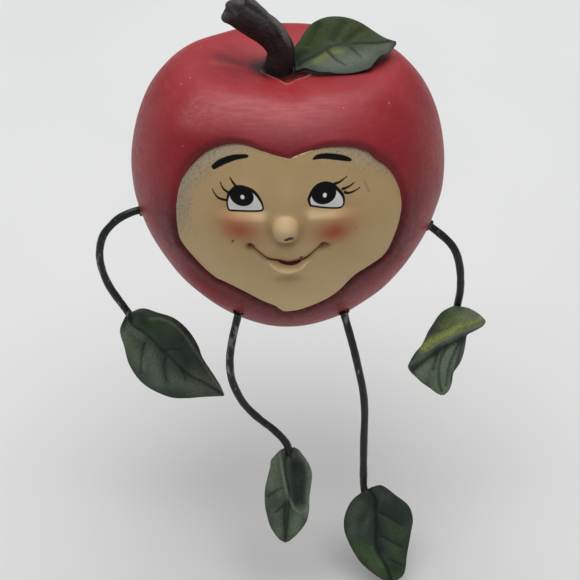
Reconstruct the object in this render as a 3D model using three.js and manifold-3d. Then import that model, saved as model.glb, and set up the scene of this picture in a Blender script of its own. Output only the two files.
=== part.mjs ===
// Apple shelf sitter: a resin apple with a heart-shaped face, wire limbs and leaf hands and feet.
// Millimetres, +Z up. The flat seat lies in z = 0 with its centre at the origin, and the face looks to -Y.
import * as THREE from 'three';
import { mergeVertices } from 'three/addons/utils/BufferGeometryUtils.js';
import { LoftGeometry } from 'three/addons/geometries/LoftGeometry.js';
import Module from 'manifold-3d';

// Apple, in its own frame: the axis is Z and the bottom pole is at z = 0.
const APPLE_RADIUS = 55;
const WIDEST_HEIGHT = 61.4;
const CREST_RADIUS = 31.1;
const CREST_HEIGHT = 99.2;
const DIMPLE_DEPTH = 4.6;
const FUNNEL_DEPTH = 1.8;
const FUNNEL_RADIUS = 9;
const SHOULDER_ROUND = 15.9;
const SHOULDER_DROP = 15.2;
const FLANK_DROP = 25.1;
const BOTTOM_ROUND = 30.6;
const LOBES = 5;
const FURROW_DEPTH = 1.2;
const CLEFT_DEPTH = 3.2;
const CLEFT_HALF_ANGLE = 0.26;

// How the apple sits: it leans back on a flat seat.
const LEAN = THREE.MathUtils.degToRad(11);
const SEAT_SETBACK = 8.4;
const SEAT_HEIGHT = 4.9;

// Heart-shaped face, in the apple's own frame.
const HEART_HALF_WIDTH = 37.4;
const HEART_WIDEST = 63.7;
const HEART_CLEFT = 84.5;
const HEART_LOBE = 91.7;
const HEART_TIP = 23;
const HEART_CENTRE = 57.7;
const RECESS_DEPTH = 5;
const FACE_SETBACK_TOP = 2.2;
const FACE_PROUD_TIP = 0.5;

// Wire limbs.
const WIRE_RADIUS = 1.3;
const WIRE_SIDES = 8;
const SOCKET_DEPTH = 14;
const ROOT_LENGTH = 4.5;
const LEAF_SOCKET = 5.5;
const BOSS_WALL = 0.8;
const CLEARANCE = 0.3;

// Leaves.
const LEAF_MID_THICKNESS = 2.6;
const LEAF_EDGE_THICKNESS = 1.1;
const PEG_RADIUS = 1.4;
const PEG_DEPTH = 6;

// Stem.
const STEM_RADIUS = 4.7;
const STEM_FLARE = 6.6;
const TENON_RADIUS = 3;
const TENON_DEPTH = 6;

const wasm = await Module();
wasm.setup();

const vec = (x, y, z) => new THREE.Vector3(x, y, z);
const flat = (pairs) => pairs.map(([x, y]) => new THREE.Vector2(x, y));
const bump = (x, width) => Math.exp(-((x / width) ** 2));
const { lerp, smoothstep, clamp } = THREE.MathUtils;

// Solids for cutting and joining
function solid(geometry) {
  const bare = geometry.index ? geometry.toNonIndexed() : geometry.clone();
  bare.deleteAttribute('normal');
  bare.deleteAttribute('uv');
  const merged = mergeVertices(bare, 1e-4);
  const index = merged.index.array;
  const triangles = [];
  for (let i = 0; i < index.length; i += 3) {
    const [a, b, c] = [index[i], index[i + 1], index[i + 2]];
    if (a !== b && b !== c && c !== a) triangles.push(a, b, c);
  }
  const mesh = new wasm.Mesh({
    numProp: 3,
    vertProperties: new Float32Array(merged.attributes.position.array),
    triVerts: new Uint32Array(triangles),
  });
  return new wasm.Manifold(mesh);
}

function geometryOf(manifold) {
  const mesh = manifold.getMesh();
  const geometry = new THREE.BufferGeometry();
  geometry.setAttribute('position', new THREE.BufferAttribute(mesh.vertProperties, 3));
  geometry.setIndex(new THREE.BufferAttribute(mesh.triVerts, 1));
  geometry.computeVertexNormals();
  return geometry;
}

// A round rod from one point to another
function rod(from, to, radius, sides = 16) {
  const span = to.clone().sub(from);
  const geometry = new THREE.CylinderGeometry(radius, radius, span.length(), sides);
  const turn = new THREE.Quaternion().setFromUnitVectors(vec(0, 1, 0), span.clone().normalize());
  geometry.applyQuaternion(turn);
  const middle = from.clone().add(to).multiplyScalar(0.5);
  return geometry.translate(middle.x, middle.y, middle.z);
}

// Apple profile: dimple, shoulder and flank as three curves from the axis to the bottom pole
const crest = new THREE.Vector2(CREST_RADIUS, CREST_HEIGHT);
const widest = new THREE.Vector2(APPLE_RADIUS, WIDEST_HEIGHT);
const bowlFloor = CREST_HEIGHT - DIMPLE_DEPTH;
const dimpleFloor = bowlFloor - FUNNEL_DEPTH;
const dimpleCurve = new THREE.CubicBezierCurve(
  new THREE.Vector2(0, bowlFloor),
  new THREE.Vector2(0.3 * CREST_RADIUS, bowlFloor),
  new THREE.Vector2(0.6 * CREST_RADIUS, CREST_HEIGHT),
  crest,
);
const shoulderCurve = new THREE.CubicBezierCurve(
  crest,
  new THREE.Vector2(CREST_RADIUS + SHOULDER_ROUND, CREST_HEIGHT),
  new THREE.Vector2(APPLE_RADIUS, WIDEST_HEIGHT + SHOULDER_DROP),
  widest,
);
const flankCurve = new THREE.CubicBezierCurve(
  widest,
  new THREE.Vector2(APPLE_RADIUS, WIDEST_HEIGHT - FLANK_DROP),
  new THREE.Vector2(BOTTOM_ROUND, 0),
  new THREE.Vector2(0, 0),
);
const outerProfile = [...shoulderCurve.getPoints(60), ...flankCurve.getPoints(60).slice(1)];

// Outer radius of the plain revolve at a height
function radiusAt(height) {
  for (let i = 1; i < outerProfile.length; i += 1) {
    const [a, b] = [outerProfile[i - 1], outerProfile[i]];
    if (height <= a.y && height >= b.y) return lerp(a.x, b.x, (a.y - height) / (a.y - b.y));
  }
  return CREST_RADIUS;
}

// A point of the skin: five soft lobes, a deeper cleft in the front of the rim, and a funnel at the stem
function skinPoint(profilePoint, angle) {
  const high = smoothstep(profilePoint.y, WIDEST_HEIGHT - 20, CREST_HEIGHT);
  const furrow = FURROW_DEPTH * high * (0.5 + 0.5 * Math.cos(LOBES * angle)) ** 2;
  const wide = Math.min(1, profilePoint.x / CREST_RADIUS);
  const turn = Math.atan2(Math.sin(angle), Math.cos(angle));
  const cleft = CLEFT_DEPTH * wide * bump(turn, CLEFT_HALF_ANGLE) * bump(profilePoint.y - CREST_HEIGHT, 9);
  const onTop = profilePoint.y > WIDEST_HEIGHT;
  const funnel = onTop ? FUNNEL_DEPTH * bump((profilePoint.x / FUNNEL_RADIUS) ** 2, 1) : 0;
  const radius = Math.max(0, profilePoint.x - furrow * wide);
  return vec(radius * Math.sin(angle), -radius * Math.cos(angle), profilePoint.y - cleft - funnel);
}

function appleGeometry(around) {
  const profile = [
    ...dimpleCurve.getPoints(11),
    ...shoulderCurve.getPoints(11).slice(1),
    ...flankCurve.getPoints(18).slice(1),
  ].reverse();
  const sections = profile.map((point) => {
    const ring = [];
    for (let i = 0; i < around; i += 1) ring.push(skinPoint(point, (2 * Math.PI * i) / around));
    return ring;
  });
  return new LoftGeometry(sections);
}

// Heart outline in the x, z plane
function heartOutline() {
  const path = new THREE.Path();
  path.moveTo(0, HEART_CLEFT);
  path.bezierCurveTo(-7, HEART_CLEFT + 6.7, -HEART_HALF_WIDTH, HEART_LOBE, -HEART_HALF_WIDTH, HEART_WIDEST);
  path.bezierCurveTo(-HEART_HALF_WIDTH, 46.2, -20, 30.7, 0, HEART_TIP);
  path.bezierCurveTo(20, 30.7, HEART_HALF_WIDTH, 46.2, HEART_HALF_WIDTH, HEART_WIDEST);
  path.bezierCurveTo(HEART_HALF_WIDTH, HEART_LOBE, 7, HEART_CLEFT + 6.7, 0, HEART_CLEFT);
  return path.getPoints(12).slice(0, -1);
}

// A heart-shaped solid between a front and a back surface, both given as radii about the apple's axis
function heartSolid(scale, frontRadius, backRadius, frontSteps, backSteps) {
  const outline = heartOutline();
  const ring = (step, radiusOf) => outline.map((point) => {
    const x = point.x * scale * step;
    const z = HEART_CENTRE + (point.y - HEART_CENTRE) * scale * step;
    const radius = radiusOf(x, z);
    return vec(x, -Math.sqrt(radius * radius - x * x), z);
  });
  const sections = [
    ...backSteps.map((step) => ring(step, backRadius)),
    ...[...frontSteps].reverse().map((step) => ring(step, frontRadius)),
  ];
  return new LoftGeometry(sections);
}

// Relief of the face: nose, eyes, cheeks, smile and lower lip
function faceRelief(x, z) {
  const nose = 5 * bump(Math.hypot(x + 0.6, 1.1 * (z - 61.9)), 4.6);
  const bridge = 1.4 * bump(x + 0.6, 5) * bump(z - 69.7, 6);
  const eyes = 0.9 * bump(Math.hypot(Math.abs(x + 0.9) - 13.3, 1.4 * (z - 73)), 6);
  const cheeks = 2 * bump(Math.hypot(Math.abs(x + 0.5) - 15.8, z - 60.7), 8);
  const smileHeight = 50 + 7 * (x / 12) ** 2;
  const smile = -1.3 * bump(z - smileHeight, 1.8) * smoothstep(14 - Math.abs(x), 0, 3);
  const lip = 1.2 * bump(Math.hypot(0.6 * x, z - 46), 2.8);
  const chin = 0.9 * bump(Math.hypot(0.8 * x, z - 37.7), 6);
  return nose + bridge + eyes + cheeks + smile + lip + chin;
}

const recessFloor = (x, z) => radiusAt(z) - RECESS_DEPTH;
const panelBack = (x, z) => recessFloor(x, z) + CLEARANCE;
const panelFront = (x, z) => {
  const down = clamp((HEART_LOBE - 3 - z) / (HEART_LOBE - 3 - HEART_TIP), 0, 1);
  return radiusAt(z) - lerp(FACE_SETBACK_TOP, -FACE_PROUD_TIP, down) + faceRelief(x, z);
};
const backSteps = [0, 0.34, 0.67, 1];
const frontSteps = Array.from({ length: 18 }, (unused, i) => i / 17);

// The group that leans back carries the apple, its face, stem and top leaf
const leaning = new THREE.Group();
leaning.position.set(0, -SEAT_SETBACK, -SEAT_HEIGHT);
leaning.rotation.x = -LEAN;
leaning.updateMatrix();
const toApple = leaning.matrix.clone().invert();

// Limbs: a straight root in the apple's hole, the bend just outside it, and the free wire.
// A hole is given by its turn from the front and its height, and the wire by offsets from its bend.
const limbPlans = [
  {
    name: 'left_arm',
    tip: 'left_hand_leaf',
    turn: -77.2,
    height: 47.5,
    out: vec(-0.93, -0.3, 0.05).normalize(),
    route: [
      vec(-2.9, -0.5, -2.1), vec(-6.3, -0.9, -5.3), vec(-9.1, -1.4, -9.2), vec(-10.8, -2, -15.5),
      vec(-10.8, -2.4, -22.2), vec(-8.6, -2.9, -31.1),
    ],
    entry: vec(-3.1, -3.7, -42),
    end: vec(0.2, -5.8, -46.5),
  },
  {
    name: 'right_arm',
    tip: 'right_hand_leaf',
    turn: 75.5,
    height: 42,
    out: vec(0.82, -0.2, -0.52).normalize(),
    route: [
      vec(3.7, -0.8, -3.8), vec(6.1, -1.4, -7.6), vec(7.8, -1.9, -13.4), vec(8.6, -2.4, -20),
      vec(8.7, -2.8, -25.4),
    ],
    entry: vec(8.1, -3.3, -31.2),
    end: vec(7.5, -5.9, -36),
  },
  {
    name: 'left_leg',
    tip: 'left_foot_leaf',
    turn: -28.8,
    height: 17.5,
    out: vec(-0.22, -0.16, -0.96).normalize(),
    route: [
      vec(-1.4, -1.4, -6.7), vec(-2.4, -2.8, -14.9), vec(-1.8, -3.9, -23.8), vec(1.4, -4.6, -33.1),
      vec(4.3, -4.6, -38.2), vec(8.3, -4.6, -43.3), vec(13.1, -4.8, -48.4),
    ],
    entry: vec(17.6, -5, -55.3),
    end: vec(19.1, -7, -60.3),
  },
  {
    name: 'right_leg',
    tip: 'right_foot_leaf',
    turn: 34.4,
    height: 16.2,
    out: vec(0.25, -0.28, -0.93).normalize(),
    route: [
      vec(2.8, -2.6, -10.5), vec(4.6, -4.2, -18.7), vec(6.3, -5.5, -27.4), vec(7.2, -6.2, -36.9),
      vec(7.3, -7, -51.6), vec(7.6, -7.7, -68),
    ],
    entry: vec(8, -8, -76.5),
    end: vec(9, -10.8, -81.1),
  },
];

const limbs = limbPlans.map((plan) => {
  const ring = new THREE.Vector2(radiusAt(plan.height), plan.height);
  const hole = skinPoint(ring, THREE.MathUtils.degToRad(plan.turn)).applyMatrix4(leaning.matrix);
  const bend = hole.addScaledVector(plan.out, ROOT_LENGTH);
  const fromBend = (offset) => offset.clone().add(bend);
  return {
    ...plan,
    bend,
    route: plan.route.map(fromBend),
    entry: fromBend(plan.entry),
    end: fromBend(plan.end),
  };
});

// The apple: lobed skin, flat seat, heart recess, four wire sockets, and sockets for stem and top leaf
const dimpleCentre = vec(0, 0, dimpleFloor);
const STEM_FOOT = vec(-4, 0, dimpleFloor);
const PEG_TOP = vec(5.6, -0.3, dimpleFloor + 4.4);
const PEG_END = vec(5.2, -0.6, dimpleFloor - PEG_DEPTH);

function appleSolid() {
  let apple = solid(appleGeometry(64));
  const seatCutter = new THREE.BoxGeometry(200, 200, 40).translate(0, 0, -20).applyMatrix4(toApple);
  apple = apple.subtract(solid(seatCutter));
  const outside = () => 2 * APPLE_RADIUS;
  apple = apple.subtract(solid(heartSolid(1, outside, recessFloor, [0, 1], backSteps)));
  for (const limb of limbs) {
    const inner = limb.bend.clone().addScaledVector(limb.out, -(ROOT_LENGTH + SOCKET_DEPTH));
    const bore = rod(inner, limb.bend, WIRE_RADIUS + CLEARANCE).applyMatrix4(toApple);
    apple = apple.subtract(solid(bore));
  }
  const stemBore = rod(
    STEM_FOOT.clone().setZ(dimpleFloor - TENON_DEPTH - CLEARANCE),
    STEM_FOOT.clone().setZ(CREST_HEIGHT),
    TENON_RADIUS + CLEARANCE,
  );
  apple = apple.subtract(solid(stemBore));
  const pegDeep = PEG_END.clone().setZ(PEG_END.z - CLEARANCE);
  return apple.subtract(solid(rod(pegDeep, PEG_TOP, PEG_RADIUS + CLEARANCE, 12)));
}

// A wire: rings along the route, starting in a ball about the bend
function wireGeometry(limb) {
  const curve = new THREE.CatmullRomCurve3(
    [limb.bend, limb.bend.clone().addScaledVector(limb.out, 1), ...limb.route, limb.entry, limb.end],
    false,
    'centripetal',
  );
  const steps = 36;
  const frames = curve.computeFrenetFrames(steps);
  const ringAt = (centre, i, radius) => {
    const ring = [];
    for (let k = 0; k < WIRE_SIDES; k += 1) {
      const angle = (2 * Math.PI * k) / WIRE_SIDES;
      const spoke = frames.normals[i].clone().multiplyScalar(radius * Math.cos(angle));
      spoke.addScaledVector(frames.binormals[i], radius * Math.sin(angle));
      ring.push(spoke.add(centre));
    }
    return ring;
  };
  const sections = [12, 35, 62].map((degrees) => {
    const angle = THREE.MathUtils.degToRad(degrees);
    const centre = limb.bend.clone().addScaledVector(frames.tangents[0], -WIRE_RADIUS * Math.cos(angle));
    return ringAt(centre, 0, WIRE_RADIUS * Math.sin(angle));
  });
  for (let i = 0; i <= steps; i += 1) sections.push(ringAt(curve.getPointAt(i / steps), i, WIRE_RADIUS));
  return new LoftGeometry(sections, { capStart: true, capEnd: true });
}

function rootGeometry(limb) {
  const inner = limb.bend.clone().addScaledVector(limb.out, CLEARANCE - ROOT_LENGTH - SOCKET_DEPTH);
  const outer = limb.bend.clone().addScaledVector(limb.out, -(WIRE_RADIUS + CLEARANCE));
  return rod(inner, outer, WIRE_RADIUS, WIRE_SIDES);
}

// Leaves: base is where the blade starts, from the wire's end or the floor of the dimple, and span runs to
// its tip. Two margins and a midrib lie in the leaf's own plane, x along and y across.
// relief is the height above that plane, from the distance along, the distance across and the side.
const leaves = {
  crown_leaf: {
    base: vec(3.2, 0, 4.6),
    span: vec(33.8, 7, 5.2),
    facing: vec(0, -0.5, 0.87),
    far: [[0.6, 1.2], [1.8, 6.2], [5.8, 10.1], [11.4, 12.6], [17.9, 12.8], [24.3, 10.2], [30.6, 4.5],
      [34.9, 0.4]],
    mid: [[0.2, 0], [3, 0.1], [6.3, 0.2], [11.7, 0.7], [17.1, 0.6], [22, 0.5], [29, 0.3], [34.9, 0]],
    near: [[0.4, -1], [2, -2.6], [6.8, -7.1], [12.1, -11.5], [16.6, -14], [21.7, -12.4], [29, -6.4],
      [34.9, -0.4]],
    relief: (along, across, side) => {
      const arch = 4 * Math.sin((Math.PI * along) / 34.9);
      return arch + (side < 0 ? 4 : 0.9) * side * side;
    },
  },
  left_hand_leaf: {
    base: vec(-3, 1.9, 2.3),
    span: vec(35.4, -20.4, -21.3),
    facing: vec(0, -0.72, 0.69),
    far: [[0.4, 1.2], [2.8, 5.2], [14.1, 9.8], [27.3, 7.6], [37.3, 3.6], [46, 0.4]],
    mid: [[0.3, 0], [4.4, -2.2], [14, -1.6], [25, -2], [36, -1.6], [46, 0]],
    near: [[0.2, -1.2], [1.8, -6.1], [12.5, -13.7], [24, -15.6], [36.4, -9.4], [46, -0.4]],
    relief: (along, across, side) => 1.6 * side ** 2 - 2.2 * (along / 46) ** 2,
  },
  right_hand_leaf: {
    base: vec(0.5, 2.6, 4.4),
    span: vec(-5.2, -22, -23),
    facing: vec(0, -0.72, 0.69),
    far: [[0, 1.2], [-0.4, 4.7], [4.3, 10.9], [10.5, 5.5], [23.7, 2.9], [32, 0.9]],
    mid: [[0, 0], [5, 0.2], [12, -0.6], [20, -3], [27, -2.5], [32.2, 0]],
    near: [[0.1, -1.2], [4.3, -5.9], [15.2, -10], [24.2, -13.7], [28, -9.5], [32.2, -0.9]],
    relief: (along, across) => {
      const past = 0.787 * (along - 4.4) + 0.618 * (across - 9.8) + 1;
      const roll = 4.6 * (1 - (clamp(-past, 0, 11) / 11) ** 2);
      return roll - 3.8 * smoothstep(past, 0, 2.8) - 0.1 * Math.max(0, past - 2.8);
    },
  },
  left_foot_leaf: {
    base: vec(-0.2, 2.4, 2.3),
    span: vec(-1.8, -25.7, -22.7),
    facing: vec(0, -0.66, 0.75),
    far: [[-0.4, 1.5], [2, 4.6], [9.2, 8.5], [17.6, 8.3], [26, 7.5], [31.4, 4.2], [34.4, 0.4]],
    mid: [[0, 0], [2.6, -1.3], [9, -1], [17, 0.6], [25.4, 1], [31, 0.4], [34.4, 0]],
    near: [[-0.3, -1.2], [2.2, -4.8], [8.6, -7.3], [17, -8.5], [25, -7.2], [31.2, -4.3], [34.4, -0.5]],
    relief: (along, across, side) => {
      const hollow = smoothstep(along, 2, 8) * (1 - smoothstep(along, 17, 27));
      const trough = smoothstep(side, -0.05, 0.3) * (1 - smoothstep(side, 0.55, 1));
      return 1.2 - 1.3 * (1 - Math.abs(side)) - 3.4 * hollow * trough - 1.6 * (along / 34) ** 2;
    },
  },
  right_foot_leaf: {
    base: vec(-0.5, 3.2, 3.9),
    span: vec(9.1, -26.3, -23.1),
    facing: vec(0, -0.66, 0.75),
    far: [[0.2, 2.4], [0.6, 6.1], [5.5, 10.6], [13.2, 14.4], [22, 11.7], [30, 7.4], [36.2, 0.5]],
    mid: [[0.5, 0.8], [4, 2.2], [9, 1.8], [16.4, 0.7], [22, 0.9], [29, 1.3], [36.2, 0]],
    near: [[0.8, -1], [3.4, -6.2], [8.5, -10.5], [15, -11.7], [22, -10.4], [30, -6.6], [36, -0.6]],
    relief: (along, across, side) => 2.2 * Math.abs(side) ** 1.4 - 2.6 * (along / 36) ** 2,
  },
};

function leafMatrix(leaf, start) {
  const along = leaf.span.clone().normalize();
  const up = leaf.facing.clone().addScaledVector(along, -leaf.facing.dot(along)).normalize();
  const across = up.clone().cross(along);
  return new THREE.Matrix4().makeBasis(along, across, up).setPosition(leaf.base.clone().add(start));
}

function bladeGeometry(leaf) {
  const spline = (points) => new THREE.SplineCurve(flat(points));
  const [far, mid, near] = [leaf.far, leaf.mid, leaf.near].map(spline);
  const [steps, half] = [16, 4];
  const sections = [];
  for (let i = 0; i <= steps; i += 1) {
    const [farPoint, midPoint, nearPoint] = [far, mid, near].map((curve) => curve.getPoint(i / steps));
    const top = [];
    const bottom = [];
    for (let k = half; k >= -half; k -= 1) {
      const side = k / half;
      const margin = side > 0 ? farPoint : nearPoint;
      const spot = midPoint.clone().lerp(margin, Math.abs(side));
      const height = leaf.relief(spot.x, spot.y, side);
      const thick = lerp(LEAF_MID_THICKNESS, LEAF_EDGE_THICKNESS, side * side);
      top.push(vec(spot.x, spot.y, height + thick / 2));
      bottom.unshift(vec(spot.x, spot.y, height - thick / 2));
    }
    sections.push([...top, ...bottom]);
  }
  return new LoftGeometry(sections, { capStart: true, capEnd: true });
}

// A leaf on a wire: the blade, a boss round the wire's end, and the wire's socket in the boss
function limbLeafSolid(leaf, limb) {
  const toLeaf = leafMatrix(leaf, limb.end).invert();
  const axis = limb.end.clone().sub(limb.entry).normalize();
  const mouth = limb.end.clone().addScaledVector(axis, -LEAF_SOCKET);
  const bottom = limb.end.clone().addScaledVector(axis, CLEARANCE);
  const bossRadius = WIRE_RADIUS + CLEARANCE + BOSS_WALL;
  const boss = new THREE.CapsuleGeometry(bossRadius, LEAF_SOCKET - 1, 3, 10);
  const turn = new THREE.Quaternion().setFromUnitVectors(vec(0, 1, 0), axis);
  const middle = limb.end.clone().addScaledVector(axis, -LEAF_SOCKET / 2 + 1);
  boss.applyQuaternion(turn).translate(middle.x, middle.y, middle.z).applyMatrix4(toLeaf);
  const before = mouth.clone().addScaledVector(axis, -8);
  const bore = rod(before, bottom, WIRE_RADIUS + CLEARANCE, 12).applyMatrix4(toLeaf);
  return solid(bladeGeometry(leaf)).add(solid(boss)).subtract(solid(bore));
}

// The top leaf: its blade, and a peg that goes down beside the stem into the dimple
function crownLeafSolid(leaf) {
  const toLeaf = leafMatrix(leaf, dimpleCentre).invert();
  const peg = rod(PEG_END, PEG_TOP, PEG_RADIUS, 12).applyMatrix4(toLeaf);
  return solid(bladeGeometry(leaf)).add(solid(peg));
}

// Stem: a twig with three blunt ridges and a knobbed end
function twigGeometry() {
  const stations = [
    [vec(-4, 0, dimpleFloor - 1), STEM_FLARE * 1.1, 0.5],
    [vec(-4, 0, dimpleFloor + 1), STEM_FLARE, 0.5],
    [vec(-3.4, 0, dimpleFloor + 3.2), STEM_RADIUS * 1.18, 1],
    [vec(-2.8, 0, dimpleFloor + 6.8), STEM_RADIUS * 0.98, 1],
    [vec(-3, 0, dimpleFloor + 10.4), STEM_RADIUS * 0.96, 1],
    [vec(-5.2, 0.2, dimpleFloor + 13.8), STEM_RADIUS * 0.96, 1],
    [vec(-8.9, 0.4, dimpleFloor + 17.2), STEM_RADIUS * 0.97, 1],
    [vec(-13.4, 0.5, dimpleFloor + 21.1), STEM_RADIUS * 1.03, 1],
    [vec(-17.2, 0.3, dimpleFloor + 24.6), STEM_RADIUS * 1.12, 1],
    [vec(-19.4, 0.1, dimpleFloor + 26.6), STEM_RADIUS * 1.08, 1],
    [vec(-20.6, 0, dimpleFloor + 27.8), STEM_RADIUS * 0.75, 1],
    [vec(-21, 0, dimpleFloor + 28.2), STEM_RADIUS * 0.35, 1],
  ];
  const sides = 14;
  const sections = stations.map(([centre, radius, bark], i) => {
    const ahead = stations[Math.min(i + 1, stations.length - 1)][0];
    const behind = stations[Math.max(i - 1, 0)][0];
    const axis = ahead.clone().sub(behind).normalize();
    const across = vec(0, 1, 0).cross(axis).normalize();
    const back = axis.clone().cross(across);
    const ring = [];
    for (let k = 0; k < sides; k += 1) {
      const angle = (2 * Math.PI * k) / sides;
      const reach = radius * (1 + 0.07 * bark * Math.cos(3 * angle + 0.5 * i));
      const spoke = across.clone().multiplyScalar(reach * Math.cos(angle));
      ring.push(spoke.addScaledVector(back, reach * Math.sin(angle)).add(centre));
    }
    return ring;
  });
  return new LoftGeometry(sections, { capStart: true, capEnd: true });
}

// The stem's flared foot follows the dimple with a small gap, and a tenon goes down into the apple
function stemSolid() {
  const skin = solid(appleGeometry(64).translate(0, 0, CLEARANCE));
  const tenonEnd = STEM_FOOT.clone().setZ(dimpleFloor - TENON_DEPTH);
  const tenon = rod(tenonEnd, STEM_FOOT.clone().setZ(dimpleFloor + 4), TENON_RADIUS);
  return solid(twigGeometry()).subtract(skin).add(solid(tenon));
}

// Materials
const paint = (color, roughness, metalness = 0) => () => (
  new THREE.MeshStandardMaterial({ color, roughness, metalness })
);
const redPaint = paint(0xa01c2c, 0.55);
const creamPaint = paint(0xe2cda0, 0.6);
const barkPaint = paint(0x3a2a26, 0.75);
const leafPaint = paint(0x3c4f36, 0.65);
const wirePaint = paint(0x39423a, 0.5, 0.4);

function piece(name, geometry, material) {
  const mesh = new THREE.Mesh(geometry, material());
  mesh.name = name;
  return mesh;
}

// Assembly
const sitter = new THREE.Group();
sitter.add(leaning);
leaning.add(piece('apple_body', geometryOf(appleSolid()), redPaint));
const panel = heartSolid(0.99, panelFront, panelBack, frontSteps, backSteps);
leaning.add(piece('face_panel', geometryOf(solid(panel)), creamPaint));
leaning.add(piece('stem', geometryOf(stemSolid()), barkPaint));
const crown = piece('crown_leaf', geometryOf(crownLeafSolid(leaves.crown_leaf)), leafPaint);
crown.applyMatrix4(leafMatrix(leaves.crown_leaf, dimpleCentre));
leaning.add(crown);
for (const limb of limbs) {
  sitter.add(piece(`${limb.name}_root`, geometryOf(solid(rootGeometry(limb))), wirePaint));
  sitter.add(piece(`${limb.name}_wire`, geometryOf(solid(wireGeometry(limb))), wirePaint));
  const leaf = leaves[limb.tip];
  const hand = piece(limb.tip, geometryOf(limbLeafSolid(leaf, limb)), leafPaint);
  hand.applyMatrix4(leafMatrix(leaf, limb.end));
  sitter.add(hand);
}

export default sitter;
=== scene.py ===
# Apple shelf sitter: the finished looks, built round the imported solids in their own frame.
# Sizes are in millimetres until the last step of each piece, which turns them to metres.
import math

import bmesh
import bpy
import numpy as np
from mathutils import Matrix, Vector


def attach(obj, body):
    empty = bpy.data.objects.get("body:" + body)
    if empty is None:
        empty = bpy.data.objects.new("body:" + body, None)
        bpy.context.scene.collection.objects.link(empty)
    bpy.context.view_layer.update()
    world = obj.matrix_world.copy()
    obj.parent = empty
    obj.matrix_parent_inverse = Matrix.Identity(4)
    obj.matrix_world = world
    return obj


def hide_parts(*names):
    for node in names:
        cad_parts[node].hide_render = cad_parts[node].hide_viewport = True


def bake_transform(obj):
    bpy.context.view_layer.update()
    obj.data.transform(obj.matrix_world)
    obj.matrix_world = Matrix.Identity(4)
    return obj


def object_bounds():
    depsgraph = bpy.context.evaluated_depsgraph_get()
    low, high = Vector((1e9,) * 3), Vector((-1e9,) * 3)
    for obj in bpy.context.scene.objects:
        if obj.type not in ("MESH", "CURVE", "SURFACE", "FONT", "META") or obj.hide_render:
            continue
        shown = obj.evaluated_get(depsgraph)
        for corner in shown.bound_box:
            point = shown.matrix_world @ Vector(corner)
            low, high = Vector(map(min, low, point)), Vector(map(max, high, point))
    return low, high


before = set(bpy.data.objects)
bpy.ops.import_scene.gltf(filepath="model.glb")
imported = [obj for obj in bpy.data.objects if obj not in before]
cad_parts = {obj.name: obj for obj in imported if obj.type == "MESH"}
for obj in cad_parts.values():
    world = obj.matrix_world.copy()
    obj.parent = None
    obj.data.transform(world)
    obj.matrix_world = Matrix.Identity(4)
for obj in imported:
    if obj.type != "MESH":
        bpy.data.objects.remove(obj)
cad_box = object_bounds()

MM = 0.001
TAU = 2 * math.pi
FAR = 9.0  # stands for the distance to a painted edge where there is none

# The apple in its own frame: axis Z, bottom pole at z = 0, face towards -Y.
CREST_RADIUS, CREST_HEIGHT = 31.1, 99.2
APPLE_RADIUS, WIDEST_HEIGHT = 55.0, 61.4
SHOULDER_ROUND, SHOULDER_DROP = 15.9, 15.2
FLANK_DROP, BOTTOM_ROUND = 25.1, 30.6
BOWL_FLOOR, FUNNEL_DEPTH = 94.6, 1.8
DIMPLE_FLOOR = BOWL_FLOOR - FUNNEL_DEPTH  # stem and top leaf are placed from here
FURROW_DEPTH, FURROW_FADE, LOBES = 1.2, 20, 5
CLEFT_DEPTH, CLEFT_HALF_ANGLE, CLEFT_HALF_HEIGHT = 2.3, 0.26, 9

# Its profile as three curves: from the stem to the crest, on to the widest ring, and to the bottom.
DIMPLE_CURVE = [(0, BOWL_FLOOR), (0.3 * CREST_RADIUS, BOWL_FLOOR),
                (0.6 * CREST_RADIUS, CREST_HEIGHT), (CREST_RADIUS, CREST_HEIGHT)]
SHOULDER_CURVE = [(CREST_RADIUS, CREST_HEIGHT), (CREST_RADIUS + SHOULDER_ROUND, CREST_HEIGHT),
                  (APPLE_RADIUS, WIDEST_HEIGHT + SHOULDER_DROP), (APPLE_RADIUS, WIDEST_HEIGHT)]
FLANK_CURVE = [(APPLE_RADIUS, WIDEST_HEIGHT), (APPLE_RADIUS, WIDEST_HEIGHT - FLANK_DROP),
               (BOTTOM_ROUND, 0), (0, 0)]

# How it sits.
LEAN = math.radians(11)
SEAT_SETBACK, SEAT_HEIGHT = 8.4, 4.9
SEAT_ROUND = 1.6

# The heart-shaped face: its hand-cut outline as x, z pairs, anticlockwise from the cleft.
HEART_CENTRE = 57.7
HEART_TOP, HEART_TIP = 88.7, 23.0
HEART_OUTLINE = [
    (0.5, 85.1), (-4.1, 86.1), (-14.9, 88.8), (-21.6, 87.6), (-28.2, 83.7), (-35.6, 73.8), (-37.5, 65.5),
    (-37.3, 57.1), (-36.2, 50.2), (-32.9, 45.9), (-24.6, 37.9), (-21.2, 36.8), (-14.5, 33.5), (-7.8, 29.1),
    (-4.4, 27.1), (-1.4, 23.7), (1.4, 23.9), (4.1, 24.7), (14.2, 30.5), (17.5, 33.7), (22.4, 39.8),
    (27.5, 42.6), (32.4, 45.3), (35.1, 50.4), (38.3, 62.8), (37.4, 70.4), (33.6, 77.9), (28.8, 82.3),
    (27.4, 84.0), (21.5, 87.0), (12.2, 88.1), (4.5, 86.6),
]
HEART_COLUMNS = 384
RECESS_DEPTH, RECESS_ROOM = 5.0, 0.3
FACE_SETBACK_TOP, FACE_PROUD_TIP = 2.2, 0.5
FACE_FIT = 0.993  # the panel is this share of its recess
FACE_SIDE_DEPTH, FACE_BACK_ROOM = 2.1, 0.35

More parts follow.
